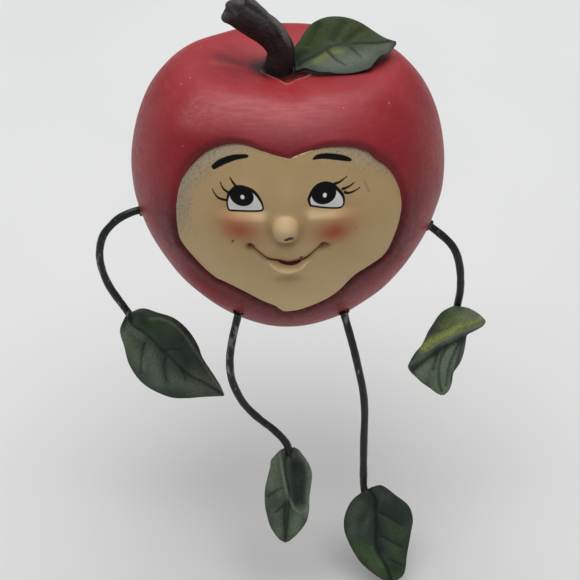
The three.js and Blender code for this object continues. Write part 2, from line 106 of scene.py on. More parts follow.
# Wires: each limb's bend, the way out of its hole, and the route of its free wire. The route's points, and
# turning, where the limb turns fully, are from the bend. worn is where paint is rubbed along the wire, over
# what length on either side, and how much.
WIRE_RADIUS = 1.4  # the solid's 1.3 and a coat of paint
WIRE_STEPS, WIRE_SIDES = 140, 20
ROOT_LENGTH = 4.5  # from the apple's skin to the bend
GLUE_RING, GLUE_BEAD, GLUE_LUMPS = 1.5, 0.6, 0.9
LIMBS = {
    "left_arm": dict(
        bend=(-55.8, -12.21, 44.19), out=(-0.93, -0.3, 0.05), turning=(-7, -1.5, -3.6), worn=(36, 20, 0.5),
        route=[(-2.9, -0.5, -2.1), (-6.3, -0.9, -5.3), (-9.1, -1.4, -9.2), (-10.8, -2, -15.5),
               (-10.8, -2.4, -22.2), (-8.6, -2.9, -31.1), (-3.1, -3.7, -42), (0.2, -5.8, -46.5)]),
    "right_arm": dict(
        bend=(53.11, -13.83, 36.41), out=(0.82, -0.2, -0.52), turning=(6.8, -1.5, -5.7), worn=(9, 5, 0.2),
        route=[(3.7, -0.8, -3.8), (6.1, -1.4, -7.6), (7.8, -1.9, -13.4), (8.6, -2.4, -20), (8.7, -2.8, -25.4),
               (8.1, -3.3, -31.2), (7.5, -5.9, -36)]),
    "left_leg": dict(
        bend=(-18.18, -36.47, 13.91), out=(-0.22, -0.16, -0.96), turning=(-1.3, -1, -5.8), worn=(18, 32, 0.8),
        route=[(-1.4, -1.4, -6.7), (-2.4, -2.8, -14.9), (-1.8, -3.9, -23.8), (1.4, -4.6, -33.1),
               (4.3, -4.6, -38.2), (8.3, -4.6, -43.3), (13.1, -4.8, -48.4), (17.6, -5, -55.3),
               (19.1, -7, -60.3)]),
    "right_leg": dict(
        bend=(20.57, -34.45, 12.25), out=(0.25, -0.28, -0.93), turning=(1.5, -1.7, -5.6), worn=(9, 7, 0.9),
        route=[(2.8, -2.6, -10.5), (4.6, -4.2, -18.7), (6.3, -5.5, -27.4), (7.2, -6.2, -36.9),
               (7.3, -7, -51.6), (7.6, -7.7, -68), (8, -8, -76.5), (9, -10.8, -81.1)]),
}


# Small tools for numbers
def smooth(x, low, high):
    """A smooth step from 0 at low to 1 at high."""
    t = np.clip((x - low) / (high - low), 0, 1)
    return t * t * (3 - 2 * t)


def band(x, rise, fall):
    """A smooth step up between the two values of rise, and down again between those of fall."""
    return smooth(x, *rise) * (1 - smooth(x, *fall))


def bump(x, width):
    """1 where x is 0, fading on both sides over width."""
    return np.exp(-((x / width) ** 2))


def spot(x, z, centre, width, wide=1):
    """A soft spot, 1 at its centre, that fades over width and is wide times as wide as high."""
    return bump(np.hypot((x - centre[0]) / wide, z - centre[1]), width)


def mix(a, b, t):
    return a + (b - a) * t


def unit(v):
    """A direction, or rows of directions, with the length 1."""
    v = np.asarray(v, float)
    return v / np.linalg.norm(v, axis=-1, keepdims=True)


def cubic(a, b, leaving, arriving, t):
    """A curve from a to b, as t goes from 0 to 1, that leaves and arrives with the given speeds."""
    twist = (2 * a - 2 * b + leaving + arriving) * t ** 3
    return twist + (3 * b - 3 * a - 2 * leaving - arriving) * t ** 2 + leaving * t + a


def spline(points, count):
    """A smooth line through points, as a uniform Catmull-Rom curve with count points."""
    p = np.asarray(points, float)
    at = np.linspace(0, 1, count) * (len(p) - 1)
    i = np.minimum(at.astype(int), len(p) - 2)
    a, b, c, d = p[np.maximum(i - 1, 0)], p[i], p[i + 1], p[np.minimum(i + 2, len(p) - 1)]
    return cubic(b, c, (c - a) / 2, (d - b) / 2, (at - i)[:, None])


def even_path(points, count, fine=40):
    """The same number of millimetres between points of a centripetal Catmull-Rom line."""
    p = np.asarray(points, float)
    p = np.vstack([2 * p[0] - p[1], p, 2 * p[-1] - p[-2]])
    t = np.linspace(0, 1, fine, endpoint=False)[:, None]
    dense = []
    for a, b, c, d in zip(p[:-3], p[1:-2], p[2:-1], p[3:]):
        r, s, u = (np.sqrt(np.linalg.norm(e)) for e in (b - a, c - b, d - c))
        leaving = ((b - a) / r - (c - a) / (r + s) + (c - b) / s) * s
        arriving = ((c - b) / s - (d - b) / (s + u) + (d - c) / u) * s
        dense.append(cubic(b, c, leaving, arriving, t))
    dense = np.vstack([*dense, p[-2:-1]])
    run = np.concatenate([[0], np.cumsum(np.linalg.norm(np.diff(dense, axis=0), axis=1))])
    at = np.linspace(0, run[-1], count)
    return np.column_stack([np.interp(at, run, dense[:, k]) for k in range(dense.shape[1])])


def stroke(points, path, widths=0):
    """Distance from points to a brush stroke along path: negative inside it. widths are half widths."""
    path = np.asarray(path, float)
    widths = np.broadcast_to(np.asarray(widths, float), len(path))
    best = np.full(len(points), np.inf)
    for a, b, wa, wb in zip(path[:-1], path[1:], widths[:-1], widths[1:]):
        along = b - a
        s = np.clip(((points - a) @ along) / (along @ along), 0, 1)
        away = np.linalg.norm(points - a - s[:, None] * along, axis=1)
        best = np.minimum(best, away - mix(wa, wb, s))
    return best


def soft_line(points, path, width):
    """1 on a path, fading over width on either side."""
    return bump(stroke(points, path), width)


def patch(points, outline):
    """Distance from points to a closed outline: negative inside it."""
    loop = np.vstack([outline, outline[:1]])
    inside = np.zeros(len(points), bool)
    for (ax, ay), (bx, by) in zip(loop[:-1], loop[1:]):
        crosses = (ay > points[:, 1]) != (by > points[:, 1])
        at = ax + (points[:, 1] - ay) * (bx - ax) / (by - ay if by != ay else 1e-9)
        inside ^= crosses & (points[:, 0] < at)
    away = stroke(points, loop)
    return np.where(inside, -away, away)


def wander(p, size, seed):
    """A soft, repeatable unevenness between about -1 and 1, some size millimetres from crest to crest."""
    rng = np.random.default_rng(seed)
    total = np.zeros(len(p))
    for _ in range(6):
        way = unit(rng.normal(size=3)) * TAU / (size * rng.uniform(0.7, 1.5))
        total += np.sin(p @ way + rng.uniform(0, TAU))
    return total / 4


# Small tools for meshes
def lean_back(p):
    """From the apple's own frame to the row frame, still in millimetres."""
    c, s = math.cos(LEAN), math.sin(LEAN)
    y, z = p[:, 1] * c + p[:, 2] * s, p[:, 2] * c - p[:, 1] * s
    return np.column_stack([p[:, 0], y - SEAT_SETBACK, z - SEAT_HEIGHT])


def put(name, data):
    """A new object in the scene."""
    made = bpy.data.objects.new(name, data)
    bpy.context.scene.collection.objects.link(made)
    return made


def ringed_piece(name, points, columns, material, values):
    """A closed mesh from rings of points, stored ring after ring, that carries values at its points."""
    ring, column = np.meshgrid(np.arange(len(points) // columns - 1), np.arange(columns), indexing="ij")
    a = ring * columns + column
    b = ring * columns + (column + 1) % columns
    quads = np.stack([a, b, b + columns, a + columns], -1).reshape(-1, 4)
    mesh = bpy.data.meshes.new(name)
    mesh.from_pydata((points * MM).tolist(), [], quads.tolist())
    for key, numbers in values.items():
        layer = mesh.attributes.new(key, "FLOAT", "POINT")
        layer.data.foreach_set("value", np.asarray(numbers, np.float32))
    work = bmesh.new()
    work.from_mesh(mesh)
    bmesh.ops.holes_fill(work, edges=work.edges, sides=0)
    bmesh.ops.recalc_face_normals(work, faces=work.faces)
    work.to_mesh(mesh)
    work.free()
    mesh.polygons.foreach_set("use_smooth", [True] * len(mesh.polygons))
    mesh.materials.append(material)
    return put(name, mesh)


# Materials
def linear(code):
    """A colour written as an sRGB hex value, as the linear red, green, blue and alpha of a socket."""
    parts = [int(code[i:i + 2], 16) / 255 for i in (1, 3, 5)]
    return [c / 12.92 if c <= 0.04045 else ((c + 0.055) / 1.055) ** 2.4 for c in parts] + [1.0]


def add(tree, kind, inputs=None, out=0, **settings):
    """Adds one node, sets it, links or fills its inputs, and gives back one of its outputs."""
    node = tree.nodes.new(kind)
    for key, value in settings.items():
        setattr(node, key, value)
    for socket, value in (inputs or {}).items():
        if isinstance(value, bpy.types.NodeSocket):
            tree.links.new(value, node.inputs[socket])
        else:
            node.inputs[socket].default_value = value
    return node.outputs[out] if node.outputs else node


def per(size):
    """Texture scale for a pattern whose features are about size millimetres across."""
    return 1 / (size * MM)


def start_paint(name, *values):
    """A new material, its tree, the place that its patterns follow, and the values that its mesh carries."""
    material = bpy.data.materials.new(name)
    material.use_nodes = True
    tree = material.node_tree
    tree.nodes.clear()
    place = add(tree, "ShaderNodeTexCoord", out="Object")
    carried = [add(tree, "ShaderNodeAttribute", out="Fac", attribute_name=value) for value in values]
    return material, tree, place, *carried


def finish_paint(tree, base, coats, look, relief=None):
    """Lays coats over a base colour, each where a value says, and joins them with the rest of the look.
    relief is a height, how strongly it shows, and how many millimetres it stands out."""
    color = linear(base)
    for where, code in coats:
        color = add(tree, "ShaderNodeMix", {0: where, 6: color, 7: linear(code)}, 2, data_type="RGBA")
    look = {"Base Color": color, **look}
    if relief:
        height, strength, depth = relief
        bumps = {"Height": height, "Strength": strength, "Distance": depth * MM}
        look["Normal"] = add(tree, "ShaderNodeBump", bumps)
    shader = add(tree, "ShaderNodeBsdfPrincipled", look)
    add(tree, "ShaderNodeOutputMaterial", {"Surface": shader})


def red_paint():
    # Red satin paint over cast resin: deep red, brushed by hand, with a dark wash left in the hollows,
    # painted shade under the top leaf and round the face, paint rubbed pink on the crest before the stem
    # and round the seat, a streaked pink painted highlight across the front shoulder, and fine pale dust.
    material, tree, place, worn, wash, crest, crest_front = start_paint(
        "red_satin_paint_on_resin", "worn", "wash", "crest", "crest_front")
    level = add(tree, "ShaderNodeMapping", {"Vector": place, "Scale": (0.14, 0.14, 1.0)})
    sideways = add(tree, "ShaderNodeMapping", {"Vector": place, "Scale": (0.09, 0.7, 1.0)})
    patterns = [(place, 26, 3, 0.55), (place, 2.2, 5, 0.65), (level, 0.9, 4, 0.6), (sideways, 1, 4, 0.6),
                (place, 9, 2, 0.5)]
    cloud, grain, streak, rubbing, dusty = (
        add(tree, "ShaderNodeTexNoise", {
            "Vector": at, "Scale": per(size), "Detail": detail, "Roughness": fine})
        for at, size, detail, fine in patterns)
    tone = add(tree, "ShaderNodeMapRange", {0: cloud, 1: 0.3, 2: 0.7})
    rubbed = add(tree, "ShaderNodeMapRange", {0: streak, 1: 0.52, 2: 0.8, 4: 0.3})
    rubbing = add(tree, "ShaderNodeMapRange", {0: rubbing, 1: 0.35, 2: 0.65, 3: 0.35})
    # worn is a streaked painted highlight across the front shoulder, and paint rubbed paler round the seat
    worn = add(tree, "ShaderNodeMath", {0: worn, 1: rubbing}, operation="MULTIPLY")
    # wash is dark wash, and painted shade under the top leaf and round the face
    patchy = add(tree, "ShaderNodeMapRange", {0: grain, 1: 0.3, 2: 0.7, 3: -0.35, 4: 0.35})
    uneven = {0: wash, 1: patchy, 2: wash}
    wash = add(tree, "ShaderNodeMath", uneven, operation="MULTIPLY_ADD", use_clamp=True)
    crest = add(tree, "ShaderNodeMath", {0: crest}, operation="ABSOLUTE")
    crest = add(tree, "ShaderNodeMapRange", {0: crest, 1: 0.12, 2: 0.5, 3: 0.85, 4: 0.0})
    crest_worn = add(tree, "ShaderNodeMapRange", {0: grain, 1: 0.35, 2: 0.6, 3: 0.3})
    for share in (crest_worn, crest_front):
        crest = add(tree, "ShaderNodeMath", {0: crest, 1: share}, operation="MULTIPLY")
    dust = add(tree, "ShaderNodeTexVoronoi", {"Vector": place, "Scale": per(3.4)}, "Distance")
    dust_size = add(tree, "ShaderNodeMapRange", {0: dusty, 1: 0.5, 2: 0.72, 4: 0.1})
    dust = add(tree, "ShaderNodeMath", {0: dust, 1: dust_size}, operation="LESS_THAN")
    dust = add(tree, "ShaderNodeMath", {0: dust, 1: 0.55}, operation="MULTIPLY")
    coats = [(tone, "#9c2c32"), (rubbed, "#b04a4e"), (worn, "#cb8b8b"), (wash, "#251418"), (crest, "#cf8a84"),
             (dust, "#dcb9b4")]
    rough = add(tree, "ShaderNodeMapRange", {0: grain, 1: 0.3, 2: 0.7, 3: 0.36, 4: 0.52})
    height = add(tree, "ShaderNodeMix", {0: 0.45, 2: streak, 3: grain}, 0)
    look = {"Roughness": rough, "IOR": 1.5, "Specular IOR Level": 0.24}
    finish_paint(tree, "#8a2026", coats, look, (height, 0.35, 0.25))
    return material


# Painted on the face with a fine brush, in this order: each mark's colour, and how soft its edge is
FACE_MARKS = [
    ("lid", "#0d0b0b", 0.1), ("eye_white", "#e9e6e3", 0.1), ("mouth", "#531b10", 0.1),
    ("nick", "#43372b", 0.12), ("ink", "#0d0b0b", 0.1), ("glint", "#f4f2ef", 0.1), ("chip", "#d9c8a6", 0.1)]


def cream_paint():
    # Matt cream paint on the cast face, with sprayed blush, a grey wash speckled along its edge, and eyes,
    # brows, lashes and mouth in glossier paint. The face is painted lighter towards its bottom, and painted
    # shade darkens it towards its top; painted highlights lie on the nose, cheek tops, lower lip and rim, and
    # painted shade round the nose, under the nose and lip, in the smile's dimples and along the mouth.
    material, tree, place, raised_highlight, blush, hollow, wash, rim_highlight = start_paint(
        "cream_matt_paint_on_resin", "raised_highlight", "blush", "hollow", "wash", "rim_highlight")
    cloud, grain, speckle = (
        add(tree, "ShaderNodeTexNoise", {
            "Vector": place, "Scale": per(size), "Detail": detail, "Roughness": fine})
        for size, detail, fine in ((18, 3, 0.5), (0.8, 4, 0.7), (0.5, 3, 0.6)))
    tone = add(tree, "ShaderNodeMapRange", {0: cloud, 1: 0.3, 2: 0.7})
    level = add(tree, "ShaderNodeSeparateXYZ", {0: place}, "Z")
    # lighter towards the bottom of the face, and painted shade darker towards its top
    lighter_below = add(tree, "ShaderNodeMapRange", {0: level, 1: 20 * MM, 2: 62 * MM, 3: 0.85, 4: 0.0})
    shaded_top = add(tree, "ShaderNodeMapRange", {0: level, 1: 60 * MM, 2: 82 * MM, 4: 0.55})
    speckle_cut = add(tree, "ShaderNodeMapRange", {0: wash, 3: 0.72, 4: 0.26})
    speckle = add(tree, "ShaderNodeMath", {0: speckle, 1: speckle_cut}, operation="SUBTRACT")
    speckle = add(tree, "ShaderNodeMapRange", {0: speckle, 2: 0.14, 4: 0.9})
    grime = add(tree, "ShaderNodeMapRange", {0: grain, 1: 0.48, 2: 0.66, 4: 0.65})
    grime = add(tree, "ShaderNodeMath", {0: grime, 1: wash}, operation="MULTIPLY")
    # Among these coats: painted highlights on the raised features and rim, painted shade towards the top and
    # in the hollows
    coats = [(tone, "#d0b285"), (lighter_below, "#e0c596"), (shaded_top, "#a78c64"), (raised_highlight, "#efd2a2"),
             (blush, "#b3502f"), (hollow, "#8a6a45"), (speckle, "#b3a48c"), (grime, "#6a5a45"),
             (rim_highlight, "#c47a70")]
    inked = 0.0
    for name, code, edge in FACE_MARKS:
        away = add(tree, "ShaderNodeAttribute", out="Fac", attribute_name=name)
        mark = add(tree, "ShaderNodeMapRange", {0: away, 1: -edge, 2: edge, 3: 1.0, 4: 0.0})
        inked = add(tree, "ShaderNodeMath", {0: inked, 1: mark}, operation="MAXIMUM")
        coats.append((mark, code))
    rough = add(tree, "ShaderNodeMapRange", {0: grain, 1: 0.3, 2: 0.7, 3: 0.4, 4: 0.52})
    rough = add(tree, "ShaderNodeMix", {0: inked, 2: rough, 3: 0.35}, 0)
    look = {"Roughness": rough, "IOR": 1.48, "Specular IOR Level": 0.2}
    finish_paint(tree, "#c6a778", coats, look, (grain, 0.25, 0.12))
    return material


def bark_paint():
    # Near-black brown paint on the cast twig, painted lighter brown as painted light on its lit side and
    # dry-brushed lighter brown on its ridges, and near-black along its seam's groove.
    material, tree, place, ridge, groove = start_paint("dark_brown_paint_on_cast_twig", "ridge", "groove")
    cloud, grain = (
        add(tree, "ShaderNodeTexNoise", {
            "Vector": place, "Scale": per(size), "Detail": detail, "Roughness": fine})
        for size, detail, fine in ((7, 3, 0.5), (1.2, 5, 0.65)))
    tone = add(tree, "ShaderNodeMapRange", {0: cloud, 1: 0.3, 2: 0.7})
    # painted light on the lit side, with dry-brushing on the ridges
    lit_side_and_brushed = add(tree, "ShaderNodeMath", {0: ridge, 1: grain}, operation="MULTIPLY")
    lit_side_and_brushed = add(tree, "ShaderNodeMapRange", {0: lit_side_and_brushed, 1: 0.12, 2: 0.5})
    coats = [(tone, "#2e2527"), (lit_side_and_brushed, "#5c5152"), (groove, "#0e0a0b")]
    rough = add(tree, "ShaderNodeMapRange", {0: grain, 1: 0.3, 2: 0.7, 3: 0.5, 4: 0.75})
    finish_paint(tree, "#1b1416", coats, {"Roughness": rough, "IOR": 1.5}, (grain, 0.9, 0.6))
    return material


def leaf_paint():
    # Blackish green paint on cast leaves, dry-brushed grey-green, leaf green and yellow-green, duller where
    # it is leaf green and darker in the veins, with painted shade in hollows, under folds and rolled edges
    # and on the backs, and pale painted highlights along some ridges and rims.
    material, tree, place, pale, green, lime, shade, vein = start_paint(
        "dark_green_brushed_paint_on_cast_leaf", "pale", "green", "lime", "shade", "vein")
    cloud, grain = (
        add(tree, "ShaderNodeTexNoise", {
            "Vector": place, "Scale": per(size), "Detail": detail, "Roughness": fine})
        for size, detail, fine in ((6, 3, 0.5), (0.8, 5, 0.7)))
    uneven = add(tree, "ShaderNodeMix", {0: 0.5, 2: cloud, 3: grain}, 0)
    tone = add(tree, "ShaderNodeMapRange", {0: uneven, 1: 0.36, 2: 0.62})
    coats = [(tone, "#475349")]
    brush = add(tree, "ShaderNodeMapRange", {0: grain, 1: 0.32, 2: 0.68, 3: 0.45, 4: 1.3})
    for amount, code in ((pale, "#7d8876"), (green, "#4a6a35"), (lime, "#9ba754")):
        amount = add(tree, "ShaderNodeMath", {0: amount, 1: brush}, operation="MULTIPLY", use_clamp=True)
        coats.append((amount, code))
    vein = add(tree, "ShaderNodeMapRange", {0: vein, 1: -0.2, 2: 0.6, 3: 0.6, 4: 0.0})
    coats += [(shade, "#0d110e"), (vein, "#0f1410")]
    rough = add(tree, "ShaderNodeMapRange", {0: grain, 1: 0.3, 2: 0.7, 3: 0.42, 4: 0.62})
    rough = add(tree, "ShaderNodeMix", {0: green, 2: rough, 3: 0.95}, 0)
    look = {"Roughness": rough, "IOR": 1.5, "Specular IOR Level": 0.22}
    finish_paint(tree, "#313c32", coats, look, (grain, 0.5, 0.3))
    return material


def wire_paint():
    # Green-black paint on soft steel wire, chipped to grey metal where the wire was bent and handled.
    material, tree, place, handled = start_paint("green_black_paint_on_steel_wire", "handled")
    drawn = add(tree, "ShaderNodeMapping", {"Vector": place, "Scale": (1.0, 1.0, 0.25)})
    grain, chips = (
        add(tree, "ShaderNodeTexNoise", {"Vector": at, "Scale": per(size), "Detail": 4.0, "Roughness": 0.6})
        for at, size in ((place, 1.4), (drawn, 1.8)))
    tone = add(tree, "ShaderNodeMapRange", {0: grain, 1: 0.3, 2: 0.7})
    worn = add(tree, "ShaderNodeMath", {0: handled, 1: 0.17, 2: chips}, operation="MULTIPLY_ADD")
    bare = add(tree, "ShaderNodeMapRange", {0: worn, 1: 0.63, 2: 0.7, 4: 0.8})
    rough = add(tree, "ShaderNodeMapRange", {0: grain, 1: 0.3, 2: 0.7, 3: 0.26, 4: 0.42})
    look = {"Roughness": rough, "Metallic": bare, "Specular IOR Level": 0.35}
    finish_paint(tree, "#131813", [(tone, "#222922"), (bare, "#8d8f8a")], look, (chips, 0.3, 0.2))
    return material


def white_board():
    # A smooth white board, matt and a little uneven in tone.
    material, tree, place = start_paint("white_board")
    cloud = add(tree, "ShaderNodeTexNoise", {"Vector": place, "Scale": per(160)})
    tone = add(tree, "ShaderNodeMapRange", {0: cloud, 1: 0.3, 2: 0.7})
    finish_paint(tree, "#dadbda", [(tone, "#dfe0df")], {"Roughness": 0.7})
    return material


RED, CREAM, BARK, LEAF, WIRE = red_paint(), cream_paint(), bark_paint(), leaf_paint(), wire_paint()


# The apple's skin
def bezier(points, t):
    a, b, c, d = np.asarray(points, float)
    t = np.clip(t, 0, 1)[:, None]
    return (1 - t) ** 3 * a + 3 * (1 - t) ** 2 * t * b + 3 * (1 - t) * t * t * c + t ** 3 * d


def profile(t):
    """Radius and height of the plain apple, from t = 0 at the stem over crest and widest ring to t = 3."""
    upper = np.where((t < 1)[:, None], bezier(DIMPLE_CURVE, t), bezier(SHOULDER_CURVE, t - 1))
    return np.where((t < 2)[:, None], upper, bezier(FLANK_CURVE, t - 2)).T


OUTER_RADIUS, OUTER_HEIGHT = profile(np.linspace(1, 3, 1600))


def radius_at(height):
    """Radius of the plain apple's outside at a height."""
    return np.interp(-height, -OUTER_HEIGHT, OUTER_RADIUS)


def skin(t, angle):
    """Radius and height of the lobed skin; paint and glue fill the solid's small funnel round the stem."""
    radius, height = profile(t)
    wide = np.minimum(1, radius / CREST_RADIUS)
    furrow = FURROW_DEPTH * smooth(height, WIDEST_HEIGHT - FURROW_FADE, CREST_HEIGHT) * wide
    furrow = furrow * (0.5 + 0.5 * np.cos(LOBES * angle)) ** 2
    turn = np.arctan2(np.sin(angle), np.cos(angle))
    cleft = CLEFT_DEPTH * wide * bump(turn, CLEFT_HALF_ANGLE) * bump(height - CREST_HEIGHT, CLEFT_HALF_HEIGHT)
    return np.maximum(0, radius - furrow), height - cleft


def skin_reach(way):
    """How far the skin is from the middle of the apple along each direction, found by halving."""
    angle = np.arctan2(way[:, 0], -way[:, 1])
    slope = np.arctan2(way[:, 2], np.hypot(way[:, 0], way[:, 1]))
    low, high = np.zeros(len(way)), np.full(len(way), 3.0)
    for _ in range(36):
        middle = (low + high) / 2
        radius, height = skin(middle, angle)
        above = np.arctan2(height - HEART_CENTRE, radius) > slope
        low, high = np.where(above, middle, low), np.where(above, high, middle)
    radius, height = skin(low, angle)
    return np.hypot(radius, height - HEART_CENTRE)


def heart_radius(turn):
    """Distance from the heart's centre to its outline at each turn, as a mean over nearby turns."""
    x, z = even_path(HEART_OUTLINE + HEART_OUTLINE[:1], 400)[:-1].T
    z = z - HEART_CENTRE
    angle, away = np.arctan2(z, x), np.hypot(x, z)
    order = np.argsort(angle)
    angle = np.concatenate([angle[order] - TAU, angle[order], angle[order] + TAU])
    away = np.tile(away[order], 3)
    turn = np.arctan2(np.sin(turn), np.cos(turn))
    nearby = np.linspace(-0.6, 0.6, 7) * TAU / HEART_COLUMNS
    return np.mean([np.interp(turn + step, angle, away) for step in nearby], axis=0)


COLUMN_TURN = np.arange(HEART_COLUMNS) * TAU / HEART_COLUMNS + math.pi / 2
COLUMN_RADIUS = heart_radius(COLUMN_TURN)
LOWER_EDGE = smooth(-np.sin(COLUMN_TURN), -0.5, 0.45)
APPLE_MIDDLE = np.array([0, 0, HEART_CENTRE])

SKIN_RINGS = 150
MEAN_RADIUS = 52  # turns an angle about the apple's middle to millimetres on its skin
POLE_GAP = 1e-4  # the end rings stop this short of a point
# How deep and how wide the edge round the face is rolled, above and below
EDGE_ROLL_TOP, EDGE_ROLL_LOW = (1.1, 1.0), (1.9, 2.1)
RIPPLES = [(0.22, 38, 11), (0.1, 14, 12)]  # height, size and seed of the cast unevenness
TOP_FADE = (86, 91)  # heights between which the top of the apple begins

# Lines on the top of the apple, seen from above: the V-shaped crest, a crease, a painted highlight
# across the front shoulder, and dark wash with painted shadow under the leaf.
CREST = np.array([
    (-8.8, -3.3), (-6.8, -6.3), (-4.7, -8.9), (-2.7, -11.4), (-1.3, -13.6), (-0.3, -14.8), (0.7, -13.5),
    (2.3, -11.4), (4.7, -9.6), (7.4, -6.7), (10, 4), (-11, 4)])
CREASE = [(-25, -1.8), (-18, -2.4), (-12.2, -4.6), (-9.4, -6.8)]
PAINTED_HIGHLIGHT_LINE = [(-31, -31.5), (-22, -34.6), (-12, -36.5), (1, -36), (14, -35.5), (24, -33.5)]
PAINTED_HIGHLIGHT_ACROSS, PAINTED_HIGHLIGHT_AMOUNT = (-30, -8, 8, 22), (0.3, 0.24, 0.22, 0.05)
STEM_FOOT = np.array([-4.0, 0.0])
CREST_STANDS, CREST_BASIN, CREASE_STANDS = 0.35, 0.8, 0.5
# Distances from the stem's foot and from a wire's hole where dark wash begins to fade and where it ends
STEM_WASH, HOLE_WASH = (6.4, 12.2), (1.6, 3.2)
# Dark wash left of the stem, and painted shadow with wash under the top leaf's near edge: line, width, amount
TOP_WASH_AND_SHADE = [([(-9, 0), (-12.2, -0.6), (-18.1, 1.4), (-23, 3.4)], 3.2, 0.42),
            ([(5, -5), (12, -9), (19, -10.6), (25, -10), (30, -5)], 3.4, 0.55)]


def apple_ring(polar, sink):
    """One ring of the skin about the face, at polar angles from its middle, sunk by some millimetres."""
    way = np.column_stack([
        np.sin(polar) * np.cos(COLUMN_TURN), -np.cos(polar), np.sin(polar) * np.sin(COLUMN_TURN)])
    away = skin_reach(way)
    middle = lean_back(APPLE_MIDDLE[None])[0]
    down = (lean_back(way) - lean_back(np.zeros((1, 3))))[:, 2]
    seat = np.where(down < -0.05, middle[2] / np.maximum(-down, 0.05), 999.0)
    soft = np.clip(0.5 + 0.5 * (seat - away) / SEAT_ROUND, 0, 1)
    away = mix(seat, away, soft) - SEAT_ROUND * soft * (1 - soft)
    return way * (away - sink)[:, None] + APPLE_MIDDLE


def apple_rings():
    """The recess and then the skin round it as one run of rings, and how far each point is from the edge."""
    edge_front = np.sqrt(radius_at(HEART_CENTRE + COLUMN_RADIUS * np.sin(COLUMN_TURN)) ** 2
                         - (COLUMN_RADIUS * np.cos(COLUMN_TURN)) ** 2)
    edge_polar = np.arctan2(COLUMN_RADIUS, edge_front)
    floor = RECESS_DEPTH + RECESS_ROOM
    rings = [(edge_polar * share + POLE_GAP, floor, -FAR) for share in (0, 0.3, 0.6, 0.85)]
    rings += [(edge_polar, depth, -depth) for depth in (floor, 3.6, 2.4)]
    steps = np.linspace(0, 1, SKIN_RINGS)
    for share in 0.14 * steps + 0.86 * steps ** 1.5:
        polar = edge_polar + share * (math.pi - POLE_GAP - edge_polar)
        away = (polar - edge_polar) * MEAN_RADIUS
        top, low = (deep * bump(away, wide) for deep, wide in (EDGE_ROLL_TOP, EDGE_ROLL_LOW))
        rings.append((polar, mix(top, low, LOWER_EDGE), away))
    points = np.vstack([apple_ring(polar, sink) for polar, sink, _ in rings])
    return points, np.concatenate([np.broadcast_to(away, HEART_COLUMNS) for _, _, away in rings])


def build_apple():
    points, edge = apple_rings()
    outer = edge >= 0
    uneven = sum(height * wander(points, size, seed) for height, size, seed in RIPPLES)
    points = points + unit(points - APPLE_MIDDLE) * (uneven * smooth(edge, 1, 6))[:, None]
    plan = points[:, :2]
    top = smooth(points[:, 2], *TOP_FADE) * outer
    inside = patch(plan, CREST)
    crest_front = smooth(-points[:, 1], 1, 4.5) * top
    crest_relief = CREST_STANDS * bump(inside, 0.9) - CREST_BASIN * smooth(-inside, -0.2, 2.6)
    points[:, 2] += crest_relief * crest_front
    points[:, 2] += CREASE_STANDS * soft_line(plan, CREASE, 1.6) * top
    # a painted highlight across the front shoulder; the worn value also carries the rubbed seat
    worn = np.interp(plan[:, 0], PAINTED_HIGHLIGHT_ACROSS, PAINTED_HIGHLIGHT_AMOUNT) * soft_line(plan, PAINTED_HIGHLIGHT_LINE, 6.5) * top
    leaned = lean_back(points)
    rubbed_seat = 0.3 * bump(leaned[:, 2] - 0.9, 0.8) * outer
    values = dict(wash=apple_wash_and_shade(points, leaned, top, edge), worn=np.maximum(worn, rubbed_seat),
                  crest=np.where(top > 0.5, inside, FAR), crest_front=crest_front)
    return ringed_piece("apple_skin", leaned, HEART_COLUMNS, RED, values)


def apple_wash_and_shade(points, leaned, top, edge):
    """How much dark wash and painted shade lie on the skin: wash by the stem and at the holes, painted
    shadow with wash under the leaf, and painted shade round the face, in its recess and above its cleft.
    """
    plan = points[:, :2]
    wash = [0.88 * (1 - smooth(np.linalg.norm(plan - STEM_FOOT, axis=1), *STEM_WASH)) * top]
    wash += [amount * soft_line(plan, line, width) * top for line, width, amount in TOP_WASH_AND_SHADE]
    for limb in LIMBS.values():
        hole = np.array(limb["bend"]) - unit(limb["out"]) * ROOT_LENGTH
        wash.append(0.85 * (1 - smooth(np.linalg.norm(leaned - hole, axis=1), *HOLE_WASH)))
    front = points[:, 1] < 0
    lower = smooth(HEART_CENTRE + 20 - points[:, 2], 0, 26) * front
    upper = smooth(points[:, 2], HEART_CENTRE + 8, HEART_CENTRE + 26) * front
    # painted shade in the chamfer along the face's lower edge, and darker over the lower front round it
    wash.append((0.3 * (1 - smooth(edge, 0.6, 3.2)) + 0.56 * (1 - smooth(edge, 1, 19))) * lower)
    # painted shade along the face's top edge, and wider above its cleft
    wash.append(0.3 * (1 - smooth(edge, 0.4, 5)) * upper)
    wash.append(0.36 * (1 - smooth(edge, 1, 15)) * upper * bump(points[:, 0], 12))
    # painted shade on the floor and walls of the face's recess
    wash.append(0.6 * smooth(-edge, 0.6, 3))
    return np.max(wash, axis=0)


